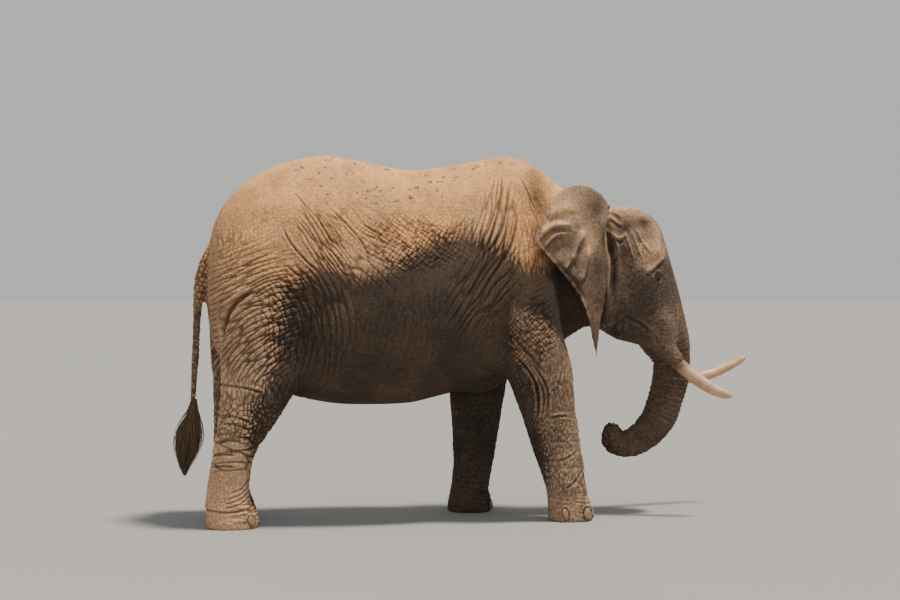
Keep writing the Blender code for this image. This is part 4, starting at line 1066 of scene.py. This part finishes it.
def ring_nails(body):
    """A fold of skin round each nail, with painted shade in the crease next to the nail."""
    nails = [name for name in nodes if "_nail_" in name]
    near = nearness(body.points, nails, 0.026)
    body.height += 0.006 * ramp(near, 0.0, 0.35) * ramp(near, 0.75, 0.40)
    body.groove = np.maximum(body.groove, 0.9 * ramp(near, 0.45, 0.85))


def make_hide():
    obj = hide_mesh()
    mesh = obj.data
    body = Body(mesh)
    fine_hide(body)
    fold_thigh(body)
    fold_flank(body)
    fold_shoulder(body)
    fold_legs(body)
    fold_head(body)
    fold_trunk(body)
    fold_tail(body)
    stroke_side(body)
    stroke_foreleg(body)
    stroke_hind_leg(body)
    shape_head(body)
    shape_ears(body)
    open_nostrils(body)
    shape_lids(body)
    ring_nails(body)
    tones = Tones(body, relief_of(body, Spread(mesh))).attributes()
    sole = ramp(body.z, 0.004, 0.03)
    body.points += body.normals * (body.height * sole)[:, None]
    body.points[:, 2] = np.maximum(body.points[:, 2], 0.0)
    put_points(mesh, body.points)
    # The groove tone is painted shade in grooves, cracks and hollows; the tones carry dust, painted light and
    # painted shade.
    attribute(mesh, "groove", np.clip(body.groove, 0, 1))
    for name, values in tones.items():
        attribute(mesh, name, values)
    shade_smooth(mesh)
    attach(obj, "root")
    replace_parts(obj, *FLESH)
    return obj


# ---------------------------------------------------------------- materials
def new_material(name):
    material = bpy.data.materials.new(name)
    material.use_nodes = True
    tree = material.node_tree
    tree.nodes.clear()
    output = tree.nodes.new("ShaderNodeOutputMaterial")
    shader = tree.nodes.new("ShaderNodeBsdfPrincipled")
    tree.links.new(shader.outputs[0], output.inputs[0])
    return material, tree, shader


def node(tree, kind, inputs=None, **settings):
    """A new shader node. inputs gives values, or the sockets to link, by socket name or number."""
    made = tree.nodes.new(kind)
    for key, value in settings.items():
        setattr(made, key, value)
    for key, value in (inputs or {}).items():
        if isinstance(value, bpy.types.NodeSocket):
            tree.links.new(value, made.inputs[key])
        else:
            made.inputs[key].default_value = value
    return made


def mixed(tree, factor, first, second):
    """A socket with two colours mixed."""
    return node(tree, "ShaderNodeMix", {0: factor, 6: first, 7: second}, data_type="RGBA").outputs[2]


def maths(tree, operation, first, second=0.0):
    made = node(tree, "ShaderNodeMath", {0: first, 1: second}, operation=operation)
    return made.outputs[0]


def limits(tree, value, low, high, to_low=0.0, to_high=1.0):
    """value taken from one range to another, and kept inside it."""
    made = node(tree, "ShaderNodeMapRange", {0: value, 1: low, 2: high, 3: to_low, 4: to_high})
    return made.outputs[0]


def read_attribute(tree, name):
    return node(tree, "ShaderNodeAttribute", attribute_name=name).outputs["Fac"]


def position(tree, scale=(1, 1, 1), turn=0.0):
    """The place on the model, stretched by scale and turned about the sideways axis by turn degrees."""
    place = node(tree, "ShaderNodeTexCoord").outputs["Object"]
    turned = node(tree, "ShaderNodeMapping", {"Vector": place, "Rotation": (0, math.radians(turn), 0)})
    return node(tree, "ShaderNodeMapping", {"Vector": turned.outputs[0], "Scale": scale}).outputs[0]


def cloudy(tree, vector, scale, detail=4.0, rough=0.55):
    inputs = {"Vector": vector, "Scale": scale, "Detail": detail, "Roughness": rough}
    return node(tree, "ShaderNodeTexNoise", inputs).outputs["Fac"]


def cracks(tree, vector, scale, width):
    """1 along the edges of small cells, falling to 0 at width from them."""
    inputs = {"Vector": vector, "Scale": scale}
    edge = node(tree, "ShaderNodeTexVoronoi", inputs, feature="DISTANCE_TO_EDGE").outputs["Distance"]
    return limits(tree, edge, 0.0, width, 1.0, 0.0)


def rgb(red, green, blue):
    """A shader colour from a display colour of 0 to 255."""
    linear = [((c / 255 + 0.055) / 1.055) ** 2.4 if c > 10 else c / 3294.6 for c in (red, green, blue)]
    return (*linear, 1.0)


def surface(tree, shader, colour, roughness, specular, height=None, strength=0.0, distance=0.002):
    """Links the colour and, from a height, the bump, and sets the gloss."""
    tree.links.new(colour, shader.inputs["Base Color"])
    shader.inputs["Roughness"].default_value = roughness
    shader.inputs["Specular IOR Level"].default_value = specular
    if height is not None:
        bump = node(tree, "ShaderNodeBump", {"Height": height, "Strength": strength, "Distance": distance})
        tree.links.new(bump.outputs[0], shader.inputs["Normal"])


# The first two colours are those of dust and painted highlight; the last two are those of painted shade in
# grooves and of painted shade elsewhere.
DUST_AND_HIGHLIGHT_COLOUR = rgb(238, 177, 116)
GREY_DUST_AND_HIGHLIGHT_COLOUR = rgb(222, 182, 146)
HIDE_COLOUR = rgb(100, 86, 75)
RED_COLOUR = rgb(132, 95, 70)
GROOVE_SHADE_COLOUR = rgb(35, 28, 23)
PAINTED_SHADE_COLOUR = rgb(57, 49, 43)


def hide_material():
    """Grey skin under pale and reddish dust and painted highlight, with painted shade in its grooves and on
    its shaded side.
    """
    material, tree, shader = new_material("elephant_hide")
    place = position(tree)
    dust_and_painted_light = read_attribute(tree, "dust_and_painted_light")
    red = read_attribute(tree, "red")
    groove = read_attribute(tree, "groove")
    shade = read_attribute(tree, "shade")
    broad = cloudy(tree, place, 3.0, 6.0, 0.6)
    fine = cloudy(tree, place, 38.0, 5.0, 0.65)
    grain = cloudy(tree, place, 170.0, 3.0, 0.6)
    spotted = maths(tree, "ADD", dust_and_painted_light, limits(tree, broad, 0.3, 0.7, -0.13, 0.13))
    spotted = maths(tree, "ADD", spotted, limits(tree, fine, 0.3, 0.7, -0.15, 0.15))
    base = mixed(tree, limits(tree, red, 0.1, 0.9), HIDE_COLOUR, RED_COLOUR)
    # the pale end is dust and painted highlight
    dust_and_highlight_tone = mixed(tree, limits(tree, red, 0.12, 0.62), GREY_DUST_AND_HIGHLIGHT_COLOUR, DUST_AND_HIGHLIGHT_COLOUR)
    colour = mixed(tree, limits(tree, spotted, 0.05, 0.95), base, dust_and_highlight_tone)
    blotch = cloudy(tree, place, 8.0, 7.0, 0.72)
    colour = mixed(tree, limits(tree, blotch, 0.46, 0.64, 0.0, 0.30), colour, RED_COLOUR)
    # painted shade from the shade tone
    shaded = maths(tree, "MULTIPLY", shade, limits(tree, broad, 0.3, 0.7, 0.96, 0.80))
    colour = mixed(tree, shaded, colour, PAINTED_SHADE_COLOUR)
    small = cracks(tree, place, 62.0, 0.10)
    tiny = cracks(tree, position(tree, (1, 1, 1.4)), 150.0, 0.12)
    # painted shade in the small cracks, and with the groove tone in grooves and hollows
    crack_shade = maths(tree, "MULTIPLY", small, 0.34)
    dark = maths(tree, "MAXIMUM", limits(tree, groove, 0.05, 0.80, 0.0, 0.93), crack_shade)
    dark = maths(tree, "MULTIPLY", dark, limits(tree, fine, 0.25, 0.75, 1.0, 0.6))
    colour = mixed(tree, dark, colour, GROOVE_SHADE_COLOUR)
    specks = cloudy(tree, position(tree, (15, 15, 27), 8.0), 1.5, 2.0, 0.55)
    on_back = maths(tree, "MULTIPLY", limits(tree, specks, 0.620, 0.665), read_attribute(tree, "soil"))
    colour = mixed(tree, maths(tree, "MULTIPLY", on_back, 0.75), colour, rgb(82, 58, 44))
    relief = maths(tree, "MULTIPLY", small, -0.7)
    relief = maths(tree, "ADD", relief, maths(tree, "MULTIPLY", tiny, -0.30))
    relief = maths(tree, "ADD", relief, maths(tree, "MULTIPLY", grain, 0.35))
    surface(tree, shader, colour, 0.88, 0.18, relief, 0.55, 0.0022)
    return material


def ivory_material():
    """Ivory with pale and dark blotches, and a dark stain at the root."""
    material, tree, shader = new_material("ivory")
    place = position(tree)
    stain = read_attribute(tree, "stain")
    blotch = cloudy(tree, place, 14.0, 5.0, 0.6)
    streak = cloudy(tree, position(tree, (1.2, 1.2, 1.2)), 60.0, 4.0, 0.6)
    colour = mixed(tree, limits(tree, blotch, 0.3, 0.7), rgb(208, 174, 136), rgb(176, 138, 100))
    colour = mixed(tree, limits(tree, streak, 0.5, 0.75, 0.0, 0.35), colour, rgb(140, 106, 72))
    stained = maths(tree, "ADD", stain, limits(tree, blotch, 0.3, 0.7, -0.2, 0.2))
    colour = mixed(tree, limits(tree, stained, 0.1, 0.9), colour, rgb(112, 82, 58))
    surface(tree, shader, colour, 0.42, 0.45, streak, 0.25)
    return material


def nail_material():
    """Ridged horn with worn, dirty blotches."""
    material, tree, shader = new_material("nail_horn")
    place = position(tree)
    ridges = cloudy(tree, position(tree, (90, 90, 8)), 1.0, 3.0, 0.5)
    blotch = cloudy(tree, place, 26.0, 4.0, 0.6)
    colour = mixed(tree, limits(tree, ridges, 0.35, 0.7), rgb(158, 130, 104), rgb(118, 94, 72))
    colour = mixed(tree, limits(tree, blotch, 0.45, 0.75, 0.0, 0.6), colour, rgb(84, 66, 51))
    surface(tree, shader, colour, 0.6, 0.3, ridges, 0.5)
    return material


def eye_material():
    """White of the eye, brown iris and black pupil, set by the distance from the eye's axis."""
    material, tree, shader = new_material("eye")
    away = read_attribute(tree, "off_axis")
    spokes = cloudy(tree, position(tree), 420.0, 3.0, 0.6)
    iris = mixed(tree, limits(tree, spokes, 0.3, 0.7), rgb(96, 58, 26), rgb(44, 26, 14))
    colour = mixed(tree, limits(tree, away, 0.20, 0.24), rgb(6, 5, 4), iris)
    colour = mixed(tree, limits(tree, away, 0.56, 0.66), colour, rgb(40, 30, 24))
    surface(tree, shader, colour, 0.08, 0.6)
    shader.inputs["Coat Weight"].default_value = 0.6
    shader.inputs["Coat Roughness"].default_value = 0.03
    return material


def hair_material():
    material, tree, shader = new_material("dark_hair")
    lock = read_attribute(tree, "lock")
    colour = mixed(tree, lock, rgb(52, 42, 32), rgb(122, 100, 74))
    surface(tree, shader, colour, 0.55, 0.35)
    return material


def floor_material():
    material, tree, shader = new_material("floor")
    tone_at = cloudy(tree, position(tree), 0.35, 3.0, 0.5)
    colour = mixed(tree, tone_at, (0.29, 0.29, 0.285, 1), (0.31, 0.31, 0.305, 1))
    surface(tree, shader, colour, 0.9, 0.1)
    return material


# ---------------------------------------------------------------- tusks, eyes and nails
TUSK_PATHS = {
    "right": [
        (1.36, 0.140, 1.34, 0.040),
        (1.41, 0.175, 1.27, 0.052),
        (1.54, 0.215, 1.085, 0.048),
        (1.68, 0.275, 0.955, 0.044),
        (1.79, 0.320, 0.880, 0.039),
        (1.875, 0.350, 0.845, 0.030),
        (1.912, 0.362, 0.832, 0.010),
    ],
    "left": [
        (1.36, 0.140, 1.34, 0.040),
        (1.41, 0.175, 1.27, 0.052),
        (1.54, 0.215, 1.085, 0.048),
        (1.67, 0.270, 0.970, 0.045),
        (1.82, 0.325, 0.922, 0.042),
        (2.00, 0.370, 0.950, 0.037),
        (2.16, 0.390, 1.015, 0.030),
        (2.225, 0.394, 1.048, 0.022),
        (2.256, 0.395, 1.064, 0.008),
    ],
}
TUSK_RINGS, TUSK_POINTS = 90, 36
IVORY_WEAR = 0.0011  # how uneven the ivory's surface is
# The shares along each tusk at which its stain ends, and below which it is full.
STAINED_SHARE = {"right": (0.46, 0.36), "left": (0.34, 0.26)}


def tube(rows, points):
    """A closed tube along rows of x, y, z and radius, as a bmesh that keeps each vertex's share along it."""
    bm = bmesh.new()
    share = bm.verts.layers.float.new("share")
    rings = []
    up = np.array([0, 0, 1.0])
    for i, (x, y, z, radius) in enumerate(rows):
        ahead = rows[min(i + 1, len(rows) - 1)][:3] - rows[max(i - 1, 0)][:3]
        ahead /= np.linalg.norm(ahead)
        side = np.cross(ahead, up)
        side /= max(np.linalg.norm(side), 1e-6)
        over = np.cross(side, ahead)
        ring = []
        for k in range(points):
            angle = 2 * math.pi * k / points
            place = np.array([x, y, z]) + radius * (math.cos(angle) * side + math.sin(angle) * over)
            vertex = bm.verts.new(place)
            vertex[share] = i / (len(rows) - 1)
            ring.append(vertex)
        rings.append(ring)
    for lower, upper in zip(rings, rings[1:]):
        for k in range(points):
            j = (k + 1) % points
            bm.faces.new((lower[k], lower[j], upper[j], upper[k]))
    for ring, turned in ((rings[0], True), (rings[-1], False)):
        bm.faces.new(ring[::-1] if turned else ring)
    bmesh.ops.recalc_face_normals(bm, faces=bm.faces)
    return bm


def make_tusk(side_name, side, material):
    rows = smooth_line(TUSK_PATHS[side_name], TUSK_RINGS)
    rows[:, 0] -= MARK
    rows[:, 1] *= side
    share = np.linspace(0, 1, TUSK_RINGS)
    rounding = np.sqrt(np.clip((1 - share) / 0.05, 0.02, 1))
    rows[:, 3] = np.maximum(rows[:, 3], 0.016) * rounding
    mesh = mesh_from(tube(rows, TUSK_POINTS), side_name + "_ivory")
    obj = link(bpy.data.objects.new(side_name + "_ivory", mesh))
    wear_down(mesh, IVORY_WEAR, 0.05, 131, octaves=3)
    along = np.empty(len(mesh.vertices), np.float32)
    mesh.attributes["share"].data.foreach_get("value", along)
    attribute(mesh, "stain", ramp(along, *STAINED_SHARE[side_name]))
    shade_smooth(mesh)
    mesh.materials.append(material)
    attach(obj, "root")
    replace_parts(obj, side_name + "_tusk")


CORNEA_REACH, CORNEA_HEIGHT = 0.62, 0.0012  # the cornea's radius as a share of the eyeball's, and its rise


def make_eyeball(side_name, side, material):
    """An eyeball with a cornea that stands out a little round its axis."""
    low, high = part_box(side_name + "_eye")
    radius = (high.z - low.z) / 2
    centre = eye_centre(side_name)
    axis = Vector(eye_axes(side)[2])
    bm = bmesh.new()
    bmesh.ops.create_uvsphere(bm, u_segments=64, v_segments=40, radius=radius * 0.985)
    turn = Vector((0, 0, 1)).rotation_difference(axis).to_matrix().to_4x4()
    off_axis = bm.verts.layers.float.new("off_axis")
    for vertex in bm.verts:
        away = math.hypot(vertex.co.x, vertex.co.y) / radius
        vertex[off_axis] = away if vertex.co.z > 0 else 1.0
        if vertex.co.z > 0:
            vertex.co.z += CORNEA_HEIGHT * max(0.0, 1 - (away / CORNEA_REACH) ** 2)
    bmesh.ops.transform(bm, matrix=Matrix.Translation(centre) @ turn, verts=bm.verts)
    mesh = mesh_from(bm, side_name + "_eyeball")
    shade_smooth(mesh)
    mesh.materials.append(material)
    obj = link(bpy.data.objects.new(side_name + "_eyeball", mesh))
    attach(obj, "root")
    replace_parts(obj, side_name + "_eye")


NAIL_GROWTH = 1.10  # how much larger a nail is than its solid, whose corners are rounded away


def worn_nail(name):
    """The mesh of one nail, with its lower edge worn off just over the floor."""
    part = node_faces(name)
    low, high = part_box(name)
    middle = (low + high) / 2
    for vertex in part.verts:
        vertex.co = middle + (vertex.co - middle) * NAIL_GROWTH
        vertex.co.z = max(vertex.co.z, 0.002)
    return mesh_from(part, "part")


def make_nails(side_name, end, material):
    """The nails of one foot, each a rounded copy of its solid."""
    names = sorted(name for name in nodes if name.startswith(f"{side_name}_{end}_nail"))
    meshes = [worn_nail(name) for name in names]
    obj = link(bpy.data.objects.new(f"{side_name}_{end}_nails", joined_mesh(meshes, "nails")))
    obj.modifiers.new("round", "SUBSURF").levels = 3
    replace_mesh(obj, evaluated(obj))
    obj.data.name = f"{side_name}_{end}_nails"
    wear_down(obj.data, 0.0008, 0.006, 141, stretch=0.15)
    shade_smooth(obj.data)
    obj.data.materials.clear()
    obj.data.materials.append(material)
    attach(obj, "root")
    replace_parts(obj, *names)


# ---------------------------------------------------------------- hair
# The tail's tuft from its neck to its tip: x, z, half its fore-and-aft size and half its width.
TUFT = [
    (-1.757, 0.84, 0.054, 0.050),
    (-1.761, 0.77, 0.046, 0.042),
    (-1.772, 0.72, 0.060, 0.038),
    (-1.789, 0.65, 0.080, 0.036),
    (-1.797, 0.56, 0.085, 0.034),
    (-1.808, 0.47, 0.068, 0.028),
    (-1.820, 0.38, 0.034, 0.016),
    (-1.820, 0.312, 0.006, 0.005),
]
TUFT_LOCKS = 1500
PATCH = 0.003  # size of one lock's place on the map that its colour is baked to


class Locks:
    """Thin tapering locks of hair, gathered into one mesh with a map of where each is rooted."""

    def __init__(self):
        self.points, self.faces, self.maps, self.shades = [], [], [], []

    def add(self, path, width, root_map, shade):
        """One three-sided lock along a path, whose width falls to a point."""
        start = len(self.points)
        steps = len(path)
        ahead = path[-1] - path[0]
        side = np.cross(ahead, (0.37, 0.61, 0.71))
        side /= np.linalg.norm(side)
        over = np.cross(ahead / np.linalg.norm(ahead), side)
        for i, place in enumerate(path):
            reach = width / 2 * (1 - 0.85 * (i / (steps - 1)) ** 1.5)
            for k in range(3):
                angle = 2 * math.pi * k / 3
                self.points.append(place + reach * (math.cos(angle) * side + math.sin(angle) * over))
                offset = (k - 1) * PATCH / 3, (i / (steps - 1) - 0.5) * PATCH
                self.maps.append((root_map[0] + offset[0], root_map[1] + offset[1]))
                self.shades.append(shade)
        for i in range(steps - 1):
            for k in range(3):
                a, b = start + 3 * i + k, start + 3 * i + (k + 1) % 3
                self.faces.append((a, b, b + 3, a + 3))
        self.faces.append((start + 2, start + 1, start))
        last = start + 3 * (steps - 1)
        self.faces.append((last, last + 1, last + 2))

    def finish(self, name, material):
        mesh = bpy.data.meshes.new(name)
        mesh.from_pydata([tuple(p) for p in self.points], [], self.faces)
        mesh.update()
        corners = np.empty(len(mesh.loops), np.int32)
        mesh.loops.foreach_get("vertex_index", corners)
        layer = mesh.uv_layers.new(name="OFBake")
        layer.data.foreach_set("uv", np.array(self.maps, np.float32)[corners].ravel())
        attribute(mesh, "lock", np.array(self.shades))
        shade_smooth(mesh)
        mesh.materials.append(material)
        obj = link(bpy.data.objects.new(name, mesh))
        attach(obj, "root")
        return obj


def tuft_size(z):
    """Middle, half fore-and-aft size and half width of the tail's tuft at height z."""
    rows = np.array(TUFT)[::-1]
    return tuple(np.interp(z, rows[:, 1], rows[:, column]) for column in (0, 2, 3))


def make_tuft(material):
    """The locks that hang from the end of the tail, rooted all the way down its last stretch."""
    rng = np.random.default_rng(7)
    locks = Locks()
    top, bottom = TUFT[0][1], TUFT[-1][1]
    for _ in range(TUFT_LOCKS):
        turn = rng.uniform(0, 2 * math.pi)
        root_z = top - 0.30 * rng.uniform() ** 1.3
        end_z = bottom + 0.004 + 0.33 * rng.uniform() ** 1.3
        end_z = min(end_z, root_z - 0.10)
        reach = rng.uniform(0.35, 1.0) ** 0.6 * rng.choice((1.0, 1.3), p=(0.85, 0.15))
        drift = rng.normal(0, 0.35)
        path = []
        for t in np.linspace(0, 1, 8):
            z = root_z + (end_z - root_z) * t
            middle, deep, wide = tuft_size(z)
            grow = 0.30 + 0.70 * math.sin(min(t * 1.6, 1) * math.pi / 2)
            angle = turn + drift * t
            share = reach * grow
            x = middle - MARK + deep * share * math.cos(angle)
            path.append(np.array([x, wide * share * math.sin(angle), z]))
        place = (0.05 + 0.9 * turn / (2 * math.pi), 0.05 + 0.9 * (top - root_z) / 0.32)
        locks.add(np.array(path), rng.uniform(0.003, 0.0055), place, reach * rng.uniform(0, 1))
    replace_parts(locks.finish("tail_hair", material), "tail_tuft")


LASHES = 46  # on each lid
LID_RADIUS = 0.0245  # distance of a lash's root from the middle of the eye


def make_lashes(material):
    """A row of lashes on each upper lid."""
    rng = np.random.default_rng(11)
    locks = Locks()
    for side_name, side in SIDES.items():
        centre = np.array(eye_centre(side_name))
        along, across, out = eye_axes(side)
        for k in range(LASHES):
            share = k / (LASHES - 1)
            a = (share - 0.5) * 1.8 * EYE_SLIT + rng.normal(0, 0.0004)
            b = 0.0105 * max(1 - (a / EYE_SLIT) ** 2, 0) ** 0.7 + 0.001
            c = math.sqrt(max(LID_RADIUS**2 - a * a - b * b, 1e-6))
            root = centre + a * along + b * across + c * out
            length = rng.uniform(0.022, 0.034)
            fan = a * 14 + rng.normal(0, 0.08)
            path = []
            for t in np.linspace(0, 1, 6):
                forward = out * math.sin(0.9 * t + 0.25) + across * (0.10 - 0.75 * t)
                path.append(root + length * t * (forward + fan * along))
            spot = (0.15 + 0.5 * (side > 0) + 0.2 * share, 0.5)
            locks.add(np.array(path), 0.0011, spot, rng.uniform(0, 0.3))
    locks.finish("lashes", material)


# ---------------------------------------------------------------- studio
def make_floor():
    bm = bmesh.new()
    bmesh.ops.create_circle(bm, cap_ends=True, segments=96, radius=60)
    mesh = mesh_from(bm, "floor")
    mesh.materials.append(floor_material())
    floor = link(bpy.data.objects.new("floor", mesh))


def add_light(name, place, aim, size, power, colour):
    data = bpy.data.lights.new(name, "AREA")
    data.shape = "RECTANGLE"
    data.size, data.size_y = size
    data.energy = power
    data.color = colour
    lamp = link(bpy.data.objects.new(name, data))
    lamp.location = place
    lamp.rotation_euler = (Vector(aim) - Vector(place)).to_track_quat("-Z", "Y").to_euler()


def make_lights():
    """A warm key from above and the right, a cool fill from the camera's side and an even pale surround."""
    data = bpy.data.lights.new("key", "SUN")
    data.energy = 5.4
    data.angle = math.radians(9)
    data.color = (1.0, 0.92, 0.81)
    key = link(bpy.data.objects.new("key", data))
    key.rotation_euler = Vector((-0.28, 0.10, -0.95)).to_track_quat("-Z", "Y").to_euler()
    add_light("fill", (-5.0, -11.0, 3.0), (0, 0, 1.3), (5.0, 4.0), 190, (0.95, 0.97, 1.0))
    world = bpy.data.worlds.new("studio")
    world.use_nodes = True
    background = world.node_tree.nodes["Background"]
    background.inputs["Color"].default_value = (0.86, 0.86, 0.85, 1)
    background.inputs["Strength"].default_value = 0.65
    bpy.context.scene.world = world


def make_camera():
    """A long lens at the height of the animal's chest, that looks a little forward and down."""
    heading, dip = math.radians(10), math.radians(1.41094)
    data = bpy.data.cameras.new("camera")
    data.lens = 81.2
    data.sensor_width = 36
    data.clip_end = 200
    camera = link(bpy.data.objects.new("camera", data))
    camera.location = (-2.6215, -13.787, 1.843)
    level = math.cos(dip)
    ahead = Vector((math.sin(heading) * level, math.cos(heading) * level, -math.sin(dip)))
    camera.rotation_euler = ahead.to_track_quat("-Z", "Y").to_euler()
    bpy.context.scene.camera = camera


# ---------------------------------------------------------------- all of it
hide = make_hide()
hide.data.materials.clear()
hide.data.materials.append(hide_material())
ivory, horn, wet, hair = ivory_material(), nail_material(), eye_material(), hair_material()
for name, side in SIDES.items():
    make_tusk(name, side, ivory)
    make_eyeball(name, side, wet)
    for end in ("fore", "hind"):
        make_nails(name, end, horn)
make_tuft(hair)
make_lashes(hair)
make_floor()
make_lights()
make_camera()
